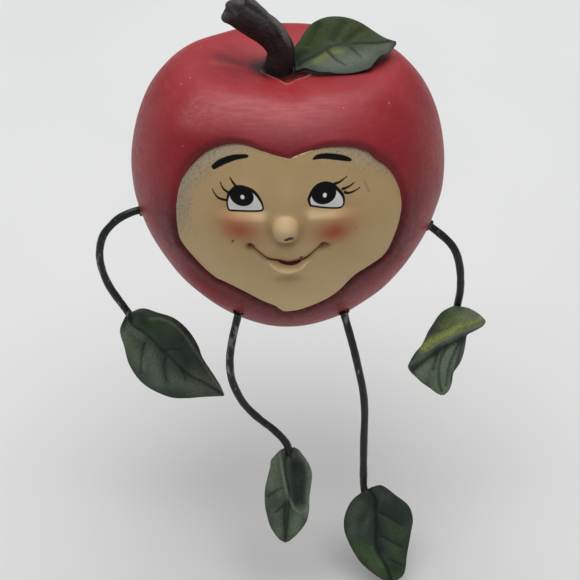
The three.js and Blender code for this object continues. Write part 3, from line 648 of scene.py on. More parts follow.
# The face: painted lines and patches as x, z pairs on its front
BROWS = [
    ([(-24.0, 79.8), (-22.0, 81.4), (-19.3, 82.9), (-16.5, 84.0), (-13.1, 84.7)],
     [0.72, 0.95, 0.95, 0.8, 0.5]),
    ([(8.2, 84.3), (9.6, 84.8), (12.2, 84.8), (15.3, 84.2), (17.9, 83.5), (20.2, 82.6)],
     [0.3, 0.7, 0.85, 0.9, 0.82, 0.45]),
]
LASHES = [
    [(-16.8, 75.6), (-17.9, 76.7), (-18.7, 77.9)], [(-19.1, 73.1), (-20.9, 74.0), (-21.9, 75.9)],
    [(-20.1, 70.5), (-22.4, 70.6), (-23.8, 71.8), (-24.5, 73.0)],
    [(15.1, 76.5), (16.8, 76.8), (19.0, 78.0)], [(17.7, 74.5), (19.7, 74.8), (21.7, 75.8)],
    [(18.4, 73.3), (19.7, 72.8), (21.7, 73.1), (23.3, 73.8)],
]
LASH_ROOT, LASH_TIP = 0.46, 0.22
EYES = [
    dict(outline=[(-20.0, 69.8), (-19.3, 67.3), (-16.8, 67.4), (-13.6, 67.7), (-10.3, 68.0), (-8.4, 68.3),
                  (-7.7, 69.1), (-7.8, 70.2), (-8.3, 71.7), (-9.2, 73.4), (-10.6, 74.9), (-12.5, 75.8),
                  (-14.8, 76.1), (-16.8, 75.6), (-18.4, 74.4), (-19.6, 72.6)],
         iris=(-14.9, 72.8), iris_size=(3.95, 3.35), glint=(-14.6, 72.6)),
    dict(outline=[(7.1, 70.0), (6.3, 72.1), (6.7, 73.7), (7.7, 75.5), (9.3, 76.9), (11.6, 77.5), (13.3, 77.3),
                  (15.0, 76.5), (16.4, 75.1), (17.7, 73.5), (18.4, 71.8), (18.4, 69.8), (17.8, 68.7),
                  (16.2, 68.4), (11.9, 69.1)],
         iris=(11.6, 74.0), iris_size=(4.05, 3.5), glint=(11.9, 73.5)),
]
LID_LINE_LOW, LID_LINE_HIGH = 0.58, 1.0  # width of the line round an eye, at its foot and at its top
GLINT_RADIUS = 0.64
SMILE = [
    (-12.4, 55.4), (-10.8, 54.4), (-9.2, 53.0), (-7.5, 51.5), (-5.9, 50.8), (-4.3, 50.5), (-2.6, 50.2),
    (0.0, 49.6), (2.6, 50.0), (3.9, 50.5), (5.6, 51.1), (7.2, 52.3), (8.8, 53.9), (10.5, 55.2), (11.4, 56.1)]
SMILE_ENDS = [[(-12.7, 55.2), (-11.9, 55.8), (-11.1, 55.2)], [(11.0, 55.6), (11.6, 56.3), (13.4, 55.9)]]
LIPS_APART = [(-2.9, 49.9), (-0.6, 49.3), (1.8, 49.2), (4.2, 50.2)]
LOWER_LIP = [(-6.2, 49.7), (-3.4, 47.6), (0.2, 46.7), (3.6, 47.6), (6.4, 49.8)]
NICKS = [([(-18.2, 56.2), (-17.8, 57.2)], 0.26), ([(4.1, 51.8), (4.6, 52.0)], 0.4),
         ([(-0.6, 60.8), (0.5, 61.3), (1.4, 61.0)], 0.6), ([(22.2, 60.6), (22.4, 60.8)], 0.15)]
CHIPS = [[(4.2, 85.7), (6.8, 86.6), (9.4, 87.2)], [(8.6, 87.4), (11.2, 87.5)], [(1.6, 85.0), (3.0, 85.3)]]
CHIP_WIDTH = 0.22
SCRATCH = [(24.6, 75.7), (25.6, 73.6), (26.5, 71.7)]

# Moulded features: the nose is half a ball, the cheeks begin under a line, and the smile ends in two dimples.
NOSE_X, NOSE_Z, NOSE_HALF_WIDTH, NOSE_HALF_HEIGHT, NOSE_STANDS = -0.8, 62.7, 4.5, 4.6, 4.9
BRIDGE_X, BRIDGE_STARTS, BRIDGE_ENDS = -0.4, (63, 67), (72, 82)
EYES_MIDDLE, EYE_BULGE = -0.9, (13.3, 73)
MUZZLE_Z, UNDER_LIP_Z, CHIN = 53.6, 43, (0, 37.2)
CHEEK_MIDDLE = -0.5
CHEEK_ACROSS, CHEEK_TOP = (-24, -19, -8, 0, 8, 17, 24), (66.6, 67.6, 68.3, 68.6, 69.4, 68.6, 67.2)
DIMPLE_MIDDLE, SMILE_DIMPLE = -0.3, (12.1, 55.6)
# Soft spots of paint: place, half height, and how many times as wide as high
BLUSH_LEFT, BLUSH_RIGHT = ((-15.2, 61.6), 4.6, 1.35), ((14.6, 60.9), 4.2, 1.4)
BLUSH_OUTER = [((-20, 63), 6), ((20, 64), 6)]
SHADOW_OF_NOSE, SHADOW_OF_LIP = ((0, 57.4), 1.5, 2), ((0.8, 43.4), 1.5, 1 / 0.45)


def face_relief(x, z):
    """How far the moulded features stand out of the face."""
    bridge = bump(x - BRIDGE_X, 3.6) * band(z, BRIDGE_STARTS, BRIDGE_ENDS)
    eyes = 0.9 * spot(np.abs(x - EYES_MIDDLE), z, EYE_BULGE, 6 / 1.4, 1.4)
    drop = np.interp(x, CHEEK_ACROSS, CHEEK_TOP) - z
    cheeks = 1.9 * band(np.abs(x - CHEEK_MIDDLE), (4.4, 8.2), (16, 26)) * band(drop, (-0.8, 3.3), (3.5, 16))
    smile = -0.9 * soft_line(np.column_stack([x, z]), spline(SMILE, 60), 0.85)
    dimples = -0.9 * spot(np.abs(x - DIMPLE_MIDDLE), z, SMILE_DIMPLE, 1.7)
    muzzle = 0.9 * bump(x, 11) * bump(z - MUZZLE_Z, 4.2)
    low, high = 45.9 + 0.096 * x ** 2, 49.0 + 0.056 * x ** 2
    up = (z - low) / np.maximum(high - low, 0.7)
    lip = 2.9 * band(up, (-0.25, 0.2), (1, 1.5)) * (1 - 0.8 * smooth(up, 0.2, 0.95))
    lip = lip * (1 - smooth(np.abs(x), 4.6, 7.8))
    under_lip = -0.9 * bump(x, 6) * bump(z - UNDER_LIP_Z, 1.5)
    chin = spot(x, z, CHIN, 6, 1.25)
    rest = bridge + eyes + cheeks + smile + dimples + muzzle + lip + under_lip + chin
    out = np.hypot((x - NOSE_X) / NOSE_HALF_WIDTH, (z - NOSE_Z) / NOSE_HALF_HEIGHT)
    nose = np.where(out < 1, NOSE_STANDS * np.sqrt(np.clip(1 - out ** 2, 0, 1)), -7 * (out - 1))
    return 0.8 * np.logaddexp(nose / 0.8, rest / 0.8)


def face_front(x, z):
    down = np.clip((HEART_TOP - z) / (HEART_TOP - HEART_TIP), 0, 1)
    radius = radius_at(z) - mix(FACE_SETBACK_TOP, -FACE_PROUD_TIP, down) + face_relief(x, z)
    return np.column_stack([x, -np.sqrt(np.maximum(radius ** 2 - x ** 2, 1)), z])


def build_face():
    outline = COLUMN_RADIUS * FACE_FIT
    back = RECESS_DEPTH - FACE_BACK_ROOM
    rings, flat, edge = [], [], []
    front_shares = [*np.linspace(0.004, 0.96, 100), 0.97, 0.98, 0.988, 0.994, 1.0]
    back_shares = [(1.001, FACE_SIDE_DEPTH), (1.0, back), (0.7, back), (0.35, back), (0.01, back)]
    for share, sunk in [(share, None) for share in front_shares] + back_shares:
        x = outline * share * np.cos(COLUMN_TURN)
        z = HEART_CENTRE + outline * share * np.sin(COLUMN_TURN)
        if sunk is None:
            ring = face_front(x, z)
            ring[:, 1] += 0.5 * smooth(share, 0.975, 1.0) ** 2
            edge.append(outline * (1 - share))
        else:
            ring = np.column_stack([x, -np.sqrt((radius_at(z) - sunk) ** 2 - x ** 2), z])
            edge.append(np.full(HEART_COLUMNS, -sunk))
        rings.append(ring)
        flat.append(np.column_stack([x, z]))
    points, flat, edge = np.vstack(rings), np.vstack(flat), np.concatenate(edge)
    marks = face_marks(flat)
    values = {key: np.where(edge >= 0, away, FAR) for key, away in marks.items()}
    values.update(face_shades(flat, edge, marks["mouth"]))
    return ringed_piece("face_panel_dressed", lean_back(points), HEART_COLUMNS, CREAM, values)


def face_marks(flat):
    """How far each point is from each kind of painted mark: less than nothing inside it."""
    x, z = flat.T
    lid, eye_white, glint = [], [], []
    ink = [stroke(flat, spline(path, 12), np.linspace(LASH_ROOT, LASH_TIP, 12)) for path in LASHES]
    for path, widths in BROWS:
        share = np.linspace(0, len(widths) - 1, 24)
        ink.append(stroke(flat, spline(path, 24), np.interp(share, np.arange(len(widths)), widths)))
    for eye in EYES:
        away = patch(flat, spline(eye["outline"] + eye["outline"][:1], 90)[:-1])
        lid.append(away)
        eye_white.append(away + mix(LID_LINE_LOW, LID_LINE_HIGH, smooth(z, 69.5, 73.5)))
        (iris_x, iris_z), (half_width, half_height) = eye["iris"], eye["iris_size"]
        out = np.hypot((x - iris_x) / half_width, (z - iris_z) / half_height)
        ink.append((out - 1) * min(half_width, half_height))
        glint.append(np.hypot(x - eye["glint"][0], (z - eye["glint"][1]) * 0.9) - GLINT_RADIUS)
    mouth = [stroke(flat, spline(SMILE, 60), 0.16 + 0.12 * np.sin(np.linspace(0, math.pi, 60)))]
    mouth += [stroke(flat, spline(end, 10), 0.24) for end in SMILE_ENDS]
    mouth.append(stroke(flat, spline(LIPS_APART, 10), 0.5 * np.sin(np.linspace(0.4, 2.74, 10))))
    nick = [stroke(flat, line, width) for line, width in NICKS]
    chip = [stroke(flat, line, CHIP_WIDTH) for line in CHIPS]
    marks = dict(ink=ink, lid=lid, eye_white=eye_white, mouth=mouth, nick=nick, glint=glint, chip=chip)
    return {key: np.min(away, axis=0) for key, away in marks.items()}


def face_shades(flat, edge, mouth):
    """Soft amounts of blush, shadow, light and wash on the face, and of a pink painted highlight on its rim.
    """
    x, z = flat.T
    blush = np.maximum(0.7 * spot(x, z, *BLUSH_LEFT), 0.85 * spot(x, z, *BLUSH_RIGHT))
    blush = blush + 0.2 * sum(spot(x, z, *outer) for outer in BLUSH_OUTER)
    # hollow: painted shade by the nose's lower sides, under the nose and lip, in the smile's dimples and
    # along the mouth, with a dark scratch as well
    nose_side = bump(np.hypot((x - NOSE_X) / 5.3, (z - 62.2) / 5.4) - 1, 0.2) * (1 - smooth(z, 62, 67))
    hollow = 0.3 * nose_side + 0.4 * spot(x, z, *SHADOW_OF_NOSE)
    hollow = hollow + 0.5 * spot(np.abs(x - DIMPLE_MIDDLE), z, SMILE_DIMPLE, 1.8)
    hollow = hollow + 0.34 * spot(x, z, *SHADOW_OF_LIP)
    hollow = hollow + 0.75 * soft_line(flat, SCRATCH, 0.18) + 0.4 * bump(mouth, 0.9)
    # painted highlights on the top of the nose, the cheek tops and the lower lip
    nose_top = 0.5 * bump(np.hypot((x - NOSE_X) / 3.8, (z - 64) / 3.4), 1)
    cheek_tops = 0.5 * bump(z - 67.2, 1.4) * band(np.abs(x - CHEEK_MIDDLE), (6, 9), (14, 20))
    raised_highlight = np.max([nose_top, cheek_tops, 0.8 * soft_line(flat, LOWER_LIP, 0.75)], axis=0)
    left_wash = smooth(-x, 2, 22) * smooth(z, 44, 66)
    right_wash = 0.85 * smooth(x, 4, 12) * smooth(z, 70, 82)
    wash = np.clip(1.25 - edge / 7.5, 0, 1) * np.maximum(left_wash, right_wash)
    wash = np.maximum(wash, 0.3 * np.clip(1 - edge / 3, 0, 1)) * (edge >= 0)
    # a pink painted highlight along the face's rim, stronger low on it and on its right lobe
    rim_highlight = 0.75 * smooth(-edge, -0.5, 0.3) * np.where((z < 60) | (x > 30), 1, 0.35)
    return dict(blush=np.clip(blush, 0, 1), hollow=np.clip(hollow, 0, 1), raised_highlight=raised_highlight, wash=wash, rim_highlight=rim_highlight)


# The stem: x, y and height above the dimple's floor of its middle line, with its radius
STEM_STATIONS = [
    (-3.9, 2.2, 0.2, 5.9), (-3.5, 1.5, 1.8, 5.25), (-3.1, 0.9, 3.8, 4.95), (-2.7, 0.4, 6.4, 4.75),
    (-2.4, 0.2, 8.6, 4.65), (-2.7, 0.2, 10.8, 4.7), (-4.0, 0.2, 13.3, 4.75), (-5.9, 0.3, 15.8, 5.0),
    (-9.0, 0.4, 18.2, 5.2), (-12.3, 0.5, 20.7, 5.5), (-15.1, 0.3, 22.8, 5.7), (-17.0, 0.1, 24.4, 5.5)]
STEM_SIDES, STEM_STEPS, STEM_CAP_STEPS = 84, 130, 20
STEM_CAP_HEIGHT = 3.4
SEAM_TURN_LOW, SEAM_TURN_HIGH, SEAM_DEPTH = -1.24, -0.6, 0.13  # the depth is a share of the radius
TOE_TURN, TOE_REACH = 3.35, 0.45
# Knobs and notches of its broken end: place, how far they stand out, and how wide they are
STEM_KNOBS = [((-20.6, -2.2, 22.2), 1.5, 2.2), ((-19.6, -1.5, 26.4), 1.3, 1.8),
              ((-20.8, -1.8, 24.5), -1.6, 1.1), ((-16.6, -3.6, 27.0), 0.8, 1.8),
              ((-18.4, -3.8, 24.4), -0.9, 1.1), ((-10.2, 1.6, 13.6), 0.5, 1.6)]


def carried_frames(path):
    """Two cross directions along a path, carried along it without twisting, and the path's own direction."""
    along = unit(np.gradient(path, axis=0))
    across = [unit(np.cross([0, 1, 0], along[0]))]
    for way in along[1:]:
        across.append(unit(across[-1] - way * (across[-1] @ way)))
    across = np.array(across)
    return across, np.cross(along, across), along


def build_stem():
    path = even_path(STEM_STATIONS, STEM_STEPS)
    floor = np.array([0, 0, DIMPLE_FLOOR])
    centre, radius = path[:, :3] + floor, path[:, 3]
    across, back, along = carried_frames(centre)
    turn = np.angle(np.exp(1j * np.arange(STEM_SIDES) * TAU / STEM_SIDES))
    rings, ridge, groove = [], [], []

    def ring(i, reach):
        return centre[i] + np.outer(reach * np.cos(turn), across[i]) + np.outer(reach * np.sin(turn), back[i])

    for i, s in enumerate(np.linspace(0, 1, STEM_STEPS)):
        bark = 0.05 * np.cos(3 * turn + 4.5 * s) + 0.022 * np.cos(8 * turn + 5 * np.sin(5 * s) + 1)
        bark = bark + 0.01 * np.cos(17 * turn + 9 * s + 3 * np.sin(9 * s))
        seam = mix(SEAM_TURN_LOW, SEAM_TURN_HIGH, float(smooth(s, 0.4, 0.75)))
        cut = bump(turn - seam, 0.16) * smooth(s, 0.38, 0.5)
        toe = TOE_REACH * np.clip(np.cos(turn - TOE_TURN), 0, 1) ** 5 * (1 - smooth(path[i, 2], 0.4, 2.8))
        rings.append(ring(i, radius[i] * (1 + toe + bark * smooth(s, 0.05, 0.25) - SEAM_DEPTH * cut)))
        # ridge is painted light on the side that faces the light, and dry-brushing on the bark's ridges
        lit = band(turn, (seam + 0.1, seam + 0.5), (1.1, 2.2)) * smooth(s, 0.3, 0.5)
        ridge.append(np.clip((0.75 + 3 * bark) * lit + 0.25 * (bark > 0.045), 0, 1))
        groove.append(cut)
    for tall in np.sin(np.linspace(0.1, 1.53, STEM_CAP_STEPS)):
        rough = 1 + 0.07 * tall * np.cos(3 * turn + 1) + 0.03 * np.cos(8 * turn)
        cap = ring(-1, radius[-1] * math.sqrt(1 - tall ** 2) * rough)
        rings.append(cap + STEM_CAP_HEIGHT * tall * along[-1])
        ridge.append(0.35 + 0.2 * np.cos(8 * turn))
        groove.append(0 * turn)
    points = np.vstack(rings)
    inside = centre[-1] - along[-1] * 3
    for place, stand, width in STEM_KNOBS:
        near = bump(np.linalg.norm(points - np.array(place) - floor, axis=1), width)
        points = points + unit(points - inside) * (stand * near)[:, None]
    values = dict(ridge=np.concatenate(ridge), groove=np.concatenate(groove))
    return ringed_piece("stem_twig", lean_back(points), STEM_SIDES, BARK, values)


# The leaves: the height of each one's middle; x runs along it, y across it, side from margin to margin
FOOT_HOLLOW = np.array([
    (4.6, 1.0), (9.9, 0.3), (15.4, 1.2), (20.1, 2.6), (22.6, 5.0), (20.4, 6.4), (15, 6.6), (9.7, 6.2),
    (5.3, 4.7)])
FOOT_RIDGE = [(1.0, -3.9), (5.2, -3.1), (9.4, -2.0), (14.8, -0.6), (19.0, 0.9), (22.2, 3.0), (23.6, 5.2)]


def crown_form(x, y, side):
    curl = np.where(side < 0, 4.0, 0.9) * side ** 2 * band(x, (-2, 7), (26, 35))
    return 4 * np.sin(math.pi * np.clip(x, 0, 34.9) / 34.9) + curl


def left_hand_form(x, y, side):
    return 2.0 * np.abs(side) ** 1.3 - 2.2 * (x / 46) ** 2 - 1.6 * smooth(side, 0.72, 1.0)


def right_hand_form(x, y, side):
    past = 0.787 * (x - 4.4) + 0.618 * (y - 9.8) + 1
    roll = 4.6 * (1 - (np.clip(-past, 0, 11) / 11) ** 2)
    return roll - 3.8 * smooth(past, 0, 2.8) - 0.1 * np.maximum(0, past - 2.8)


def left_foot_form(x, y, side):
    at = np.column_stack([x, y])
    hollow = 3.2 * smooth(-patch(at, FOOT_HOLLOW), -2.0, 2.7)
    ridge = 0.8 * soft_line(at, FOOT_RIDGE, 1.1)
    return 1.2 - 1.3 * (1 - np.abs(side)) - 1.6 * (x / 34) ** 2 - hollow + ridge


def right_foot_form(x, y, side):
    return 2.2 * np.abs(side) ** 1.3 - 2.6 * (x / 36) ** 2


# base, span and facing place each leaf; far, mid and near are its margins and midrib, x along and y across.
# folds are soft valleys, each a line with its half width and depth. pale, green, lime and shade are paints,
# each a line with its half width and amount: shade is painted shade, and the pale lines on ridges and on the
# right hand's rolled rim are painted highlights. deep is how dark the whole leaf is, and rib is the share of
# its length where the midrib starts to show.
CROWN_FOLDS = [[(9.7, 10.4), (5.1, 5.1)], [(18.4, 8.5), (13.5, 3.4)], [(24.1, 4.8), (17.5, 1.2)]]
LEFT_HAND_VEINS = [[(11.9, -4.2), (14.4, -8.8), (17.8, -13.2)], [(21.2, -3.1), (23.2, -6.6), (27.2, -9.5)]]
RIGHT_HAND_VEIN = [(13, 2.7), (21, 0.6), (29, 0.6)]
RIGHT_FOOT_VEINS = [[(10.1, 3.1), (13.6, 6.5), (16.9, 9.8)], [(18.9, 1.6), (22, 4.6), (24.7, 7.7)]]
LEAVES = {
    "crown_leaf": dict(
        body="apple", base=(3.2, 0, DIMPLE_FLOOR + 4.6), span=(33.8, 7, 5.2), facing=(0, -0.5, 0.87),
        form=crown_form, deep=0.53,
        far=[(-1.2, 3.2), (0.6, 6.7), (3.3, 8.8), (6.5, 11.7), (8.6, 12.7), (11.5, 13.1), (15.1, 13.1),
             (19.9, 11.5), (24.5, 8.5), (28.8, 3.8), (31.1, 1.7), (33.9, 0.4), (35, 0)],
        mid=[(-1.4, -1.7), (2.5, -0.9), (6.1, -0.7), (9.8, 0.1), (11.7, 0.7), (15.2, 0.4), (18.5, -0.2),
             (23.6, -1), (28.1, -1.3), (32.6, -0.6), (35, -0.2)],
        near=[(-1.8, -2.6), (1.4, -3.8), (3.4, -6.8), (5.5, -9.6), (8.5, -11.4), (10.9, -12.9), (15.3, -14.4),
              (18.7, -14.5), (21.7, -13.9), (24, -11.6), (26.5, -9.2), (28.6, -8), (30.8, -6.4), (33.3, -2.8),
              (35, -0.4)],
        veins=[[(10.1, 0), (11.1, -3.1), (12.3, -6.2), (14.2, -9.6)],
               [(18.1, -1.6), (19.2, -4.1), (20.5, -7)]],
        folds=[*zip(CROWN_FOLDS, (1.5, 1.5, 1.3), (1.2, 1.1, 0.9))],
        pale=[([(9, -6), (15, -8), (22, -7)], 5, 0.9), ([(24, -4.5), (31, -2.5)], 3.6, 0.75),
              ([(25, 3.4), (31, 0.8)], 2.4, 0.4), ([(-0.5, -3), (3, -3.2)], 1.6, 0.6)],
        green=[([(4, 5.5), (14, 7.5), (25, 4.5)], 6.5, 0.8)],
        lime=[([(6, 6.5), (14, 7.5), (24, 5)], 5.5, 0.34), ([(5.8, -3.2), (9.2, -2.2)], 1.7, 0.85),
              ([(12.4, -1.7), (14.6, -2.5)], 1.5, 0.75), ([(3.5, 8.2), (7, 11)], 1.3, 0.25)],
        shade=[([(-1, 1), (3.4, 3.4)], 3.2, 0.75), ([(4.5, 2), (9, 2.4)], 1.6, 0.45),
               ([(4, 5), (14, 7.5), (24, 4.5)], 6.5, 0.5),
               *zip(CROWN_FOLDS, (0.8, 0.8, 0.7), (0.7, 0.72, 0.66))]),
    "left_hand_leaf": dict(
        body="left_arm", base=(-58.6, -16.11, -0.01), span=(35.4, -20.4, -21.3), facing=(0, -0.72, 0.69),
        form=left_hand_form,
        far=[(0.4, 1), (2.9, 5.2), (8.1, 7.6), (14.2, 9.9), (20.9, 9.8), (27.4, 7.7), (31, 5.6), (37.3, 3.6),
             (42.5, 1.9), (46, 0.2)],
        mid=[(0.3, 0), (4.4, -1.6), (8.2, -1.1), (13.3, -1.2), (19.1, -1.8), (24.6, -2.2), (30, -2.5),
             (33.9, -2), (37.8, -1), (46, 0)],
        near=[(0.2, -1.2), (1.9, -6), (6.8, -9.5), (12.7, -13.5), (21, -15.5), (31.5, -13), (36.4, -9.4),
              (40.3, -5.6), (46, -0.4)],
        veins=[*LEFT_HAND_VEINS, [(29, -2.8), (32, -4.6)], [(18.9, -1.5), (20.5, 0.5), (22.9, 2.4)]],
        folds=[*((vein, 2, 0.5) for vein in LEFT_HAND_VEINS), ([(8, 0.5), (11.7, 3), (14.2, 6)], 1.8, 0.4),
               ([(18.9, -1.5), (22.9, 2.4), (25, 5.2)], 1.8, 0.4)],
        pale=[([(5, -7), (11, -9), (16, -10)], 3.2, 0.6), ([(16, -6), (21, -9), (24, -11)], 3, 0.5),
              ([(7.6, 4), (10.3, 6.5), (13.9, 7.8), (17.6, 8), (22.4, 7.3), (28.2, 5.5), (34, 3.7),
                (39.4, 1.7), (44.5, 0.2)], 0.5, 0.7),
              ([(4, -3.4), (9, -3)], 1.6, 0.5), ([(28, -7), (38, -3.5)], 3, 0.4),
              ([(34, -1), (44, 0)], 3, 0.5)],
        green=[([(9, 3.2), (16, 5)], 2.4, 0.4), ([(8, -7.5), (13, -11)], 2, 0.35)],
        shade=[([(24, 1.5), (36, 0.5)], 2.6, 0.25), ([(12, 3), (22, 4.5), (32, 2.6)], 3, 0.25),
               ([(29, -3), (36, -2)], 1.4, 0.2), ([(6, 1.5), (9, 2)], 1.6, 0.4)]),
    "right_hand_leaf": dict(
        body="right_arm", base=(61.11, -17.13, 4.81), span=(-5.2, -22, -23), facing=(0, -0.72, 0.69),
        form=right_hand_form, rib=0.44,
        far=[(0, 1.2), (0.1, 3.5), (0.8, 5.8), (1.7, 7.8), (2.9, 9.6), (4.2, 10.8), (5.7, 10.2), (6.6, 9.3),
             (8.3, 7), (9.8, 5.2), (12.8, 5.1), (16.4, 5), (19.8, 4.4), (21.7, 3.6), (23.9, 2.6), (28.1, 2.5),
             (30.8, 1.8), (32.4, 0.6)],
        mid=[(0, 0), (5, 0.2), (12, -0.6), (20, -3), (27, -2.5), (32.6, -0.2)],
        near=[(-0.1, -0.9), (0.9, -2.6), (2.7, -4.9), (4.8, -6.4), (7.6, -7.7), (10.7, -9.1), (13.8, -10),
              (16.1, -10.8), (18.9, -12.5), (22, -13.8), (24.3, -14.2), (25.9, -13.2), (27.7, -10.7),
              (29.3, -8.3), (30.8, -5.1), (32.2, -2.4), (32.7, -0.8)],
        veins=[RIGHT_HAND_VEIN, [(12.4, 3.6), (20.6, 3.1), (26.3, 2)], [(18.3, -4.6), (24.2, -4.9)]],
        folds=[(RIGHT_HAND_VEIN, 1.4, 0.6), ([(18, -4), (24.2, -4.9)], 1.4, 0.5)],
        pale=[([(15, 0.5), (25, -2), (30, -1.3)], 4.6, 1.0), ([(21, -8), (26, -9)], 3.8, 1.0),
              ([(5.4, 9.1), (9.4, 2.2), (14, -4.4), (18.7, -9.2), (23.4, -13.4)], 0.7, 0.8),
              ([(0.8, -1), (3, 4), (3, 8)], 3, 0.6)],
        green=[([(26, -3), (30, -1.5)], 2.4, 0.5), ([(2, 0), (6, -4)], 2.2, 0.5)],
        lime=[([(7.1, 1.9), (9.8, -1.3), (12, -4.6), (14.4, -7.9), (17, -10)], 1.5, 0.9),
              ([(4, 8.4), (6.2, 4)], 1.5, 0.65), ([(3, 5), (5, 0.5), (8.6, -3.6)], 2.2, 0.3)],
        shade=[([(7.2, 10.4), (11.2, 3.5), (15.8, -3.1), (20.5, -7.9), (25.2, -12.1)], 1.0, 0.75),
               ([(0.5, 1), (2.5, 6)], 2, 0.25)]),
    "left_foot_leaf": dict(
        body="left_leg", base=(0.72, -41.07, -44.09), span=(-1.8, -25.7, -22.7), facing=(0, -0.66, 0.75),
        form=left_foot_form,
        far=[(-0.4, 1.5), (0.6, 3.4), (2, 4.6), (3.8, 6.1), (6.3, 7.7), (9.2, 8.6), (13.2, 8.5), (17.6, 8.1),
             (22.4, 8.2), (26.1, 7.6), (28.7, 6.3), (31, 4.6), (32.9, 2.8), (34.1, 1.4), (34.6, 0.2)],
        mid=[(0, 0), (2.6, -1.3), (9, -1), (17, 0.6), (25.4, 0.4), (31, 0), (34.6, 0)],
        near=[(-0.3, -1.2), (1, -3.6), (3.3, -5.7), (4.8, -6.8), (7.4, -7), (10.4, -7.6), (15.2, -8.4),
              (18.5, -8.4), (22.2, -8), (25.4, -7.1), (29, -5.8), (31.4, -4.2), (33.5, -2.3), (34.6, -0.4)],
        veins=[[(20.5, -0.5), (26.5, -0.4), (33.6, -0.1)], [(18.1, -7), (16.1, -4.3), (14.9, -2.4)],
               [(23.8, -3.9), (21.4, -1.4)]],
        folds=[([(20, -0.5), (33.6, -0.1)], 1.6, 0.8)],
        pale=[([(0.6, -4), (5.2, -3.2), (9.4, -2.2), (14.8, -0.8), (19, 0.8), (22.2, 2.8), (23.6, 4.8)],
               0.7, 1.0),
              ([(1, 3.8), (4.5, 6.6), (9, 7.9), (16, 7.6), (24, 7.2)], 1.5, 0.85),
              ([(2, -5), (6, -5.6), (14, -6)], 2.6, 0.8), ([(3, -4), (31, 0)], 9, 0.3),
              ([(22, 5), (30, 3)], 2.6, 0.75), ([(8, -4.5), (18, -3)], 2, 0.5),
              ([(24, -4), (31, -2)], 2.6, 0.5)],
        green=[([(24, 4), (30, 2.5)], 2.6, 0.3), ([(10, -5), (15, -5.6)], 1.8, 0.3)],
        shade=[([(6, 2.2), (14, 3), (20, 4.2)], 2.0, 0.6), ([(20, -4.5), (27, -3.6)], 2.0, 0.2),
               ([(20, -0.8), (28, -0.6)], 1, 0.4)]),
    "right_foot_leaf": dict(
        body="right_leg", base=(29.07, -42.05, -64.95), span=(9.1, -26.3, -23.1), facing=(0, -0.66, 0.75),
        form=right_foot_form, deep=0.22,
        far=[(0.2, 2.4), (0.4, 6), (5.4, 10.4), (10.6, 14.1), (15.7, 14.3), (20.1, 12.4), (27.7, 8.9),
             (34.9, 5.5), (36.6, 0.9)],
        mid=[(0.5, 0.8), (4.5, 2.5), (10.7, 1.3), (15.6, 0), (21.8, -1.5), (25.9, -1), (30.6, 0.2),
             (36.6, 0.6)],
        near=[(0.8, -1), (3.3, -6.3), (8.4, -10.4), (13.1, -11.7), (18.2, -11.2), (22.5, -10.2), (27, -8.4),
              (33.4, -3.6), (36.4, -0.4)],
        veins=[*RIGHT_FOOT_VEINS, [(28.4, 2.5), (31.5, 6.2)]],
        folds=[*((vein, 1.8, 0.5) for vein in RIGHT_FOOT_VEINS),
               ([(14, -1), (18, -4.5), (21, -6.5)], 1.8, 0.4), ([(8, 0), (11, -4), (14, -7)], 1.8, 0.4)],
        pale=[([(5, -4), (10, -8), (14, -9)], 2.4, 0.3), ([(3, 3.6), (6, 7)], 2, 0.25),
              ([(12, -2.4), (16, -5)], 1.2, 0.25), ([(21.6, -3.6), (26, -2.8), (30, -1.4)], 0.6, 0.45)],
        green=[([(20.7, -8), (24.1, -5.2), (30.8, -2)], 2.8, 0.7), ([(17, 5), (20, 8)], 2.2, 0.45),
               ([(25, 4.4), (29, 6)], 1.8, 0.5), ([(33, 0.5), (35, 3)], 2, 0.5)],
        lime=[([(24, -6), (29, -4)], 1.2, 0.06)],
        shade=[([(4, 2.3), (12, 1.3), (18, 0), (24, -0.8)], 2.0, 0.55), ([(8, 5), (13, 10)], 2.6, 0.3)]),
}
LEAF_STEPS, LEAF_HALF_SIDES = 140, 36
LEAF_THICKNESS, LEAF_EDGE = 2.4, 1.1
VEIN_DEPTH, VEIN_ROOT, VEIN_TIP, RIB_WIDTH = 0.35, 0.26, 0.06, 0.22
BOSS_RADIUS = 2.1  # round the wire's end, on the back of a leaf


def leaf_axes(plan):
    """Along the leaf, across it and up from its face."""
    along = unit(plan["span"])
    facing = np.array(plan["facing"], float)
    up = unit(facing - along * (facing @ along))
    return along, np.cross(up, along), up


def leaf_veins(plan, mid, flat):
    """Distance from each place to the nearest of the midrib and the veins."""
    rib = mid[int(plan.get("rib", 0.03) * LEAF_STEPS):-4:3]
    lines = [stroke(flat, rib, RIB_WIDTH)]
    lines += [stroke(flat, spline(vein, 10), np.linspace(VEIN_ROOT, VEIN_TIP, 10)) for vein in plan["veins"]]
    return np.minimum(np.min(lines, axis=0), FAR)


def leaf_boss(flat, bottom, ends):
    """The leaf's back with a boss round the end of its wire; ends are the wire's last two points."""
    first, last = ends
    run = last[:2] - first[:2]
    t = np.clip(((flat - first[:2]) @ run) / (run @ run), 0, 1)
    away = np.linalg.norm(flat - first[:2] - t[:, None] * run, axis=1)
    boss = np.sqrt(np.clip(BOSS_RADIUS ** 2 - away ** 2, 0, None)) * smooth(BOSS_RADIUS - away, 0, 0.6)
    return np.where(boss > 0, np.minimum(bottom, mix(first[2], last[2], t) - boss), bottom)


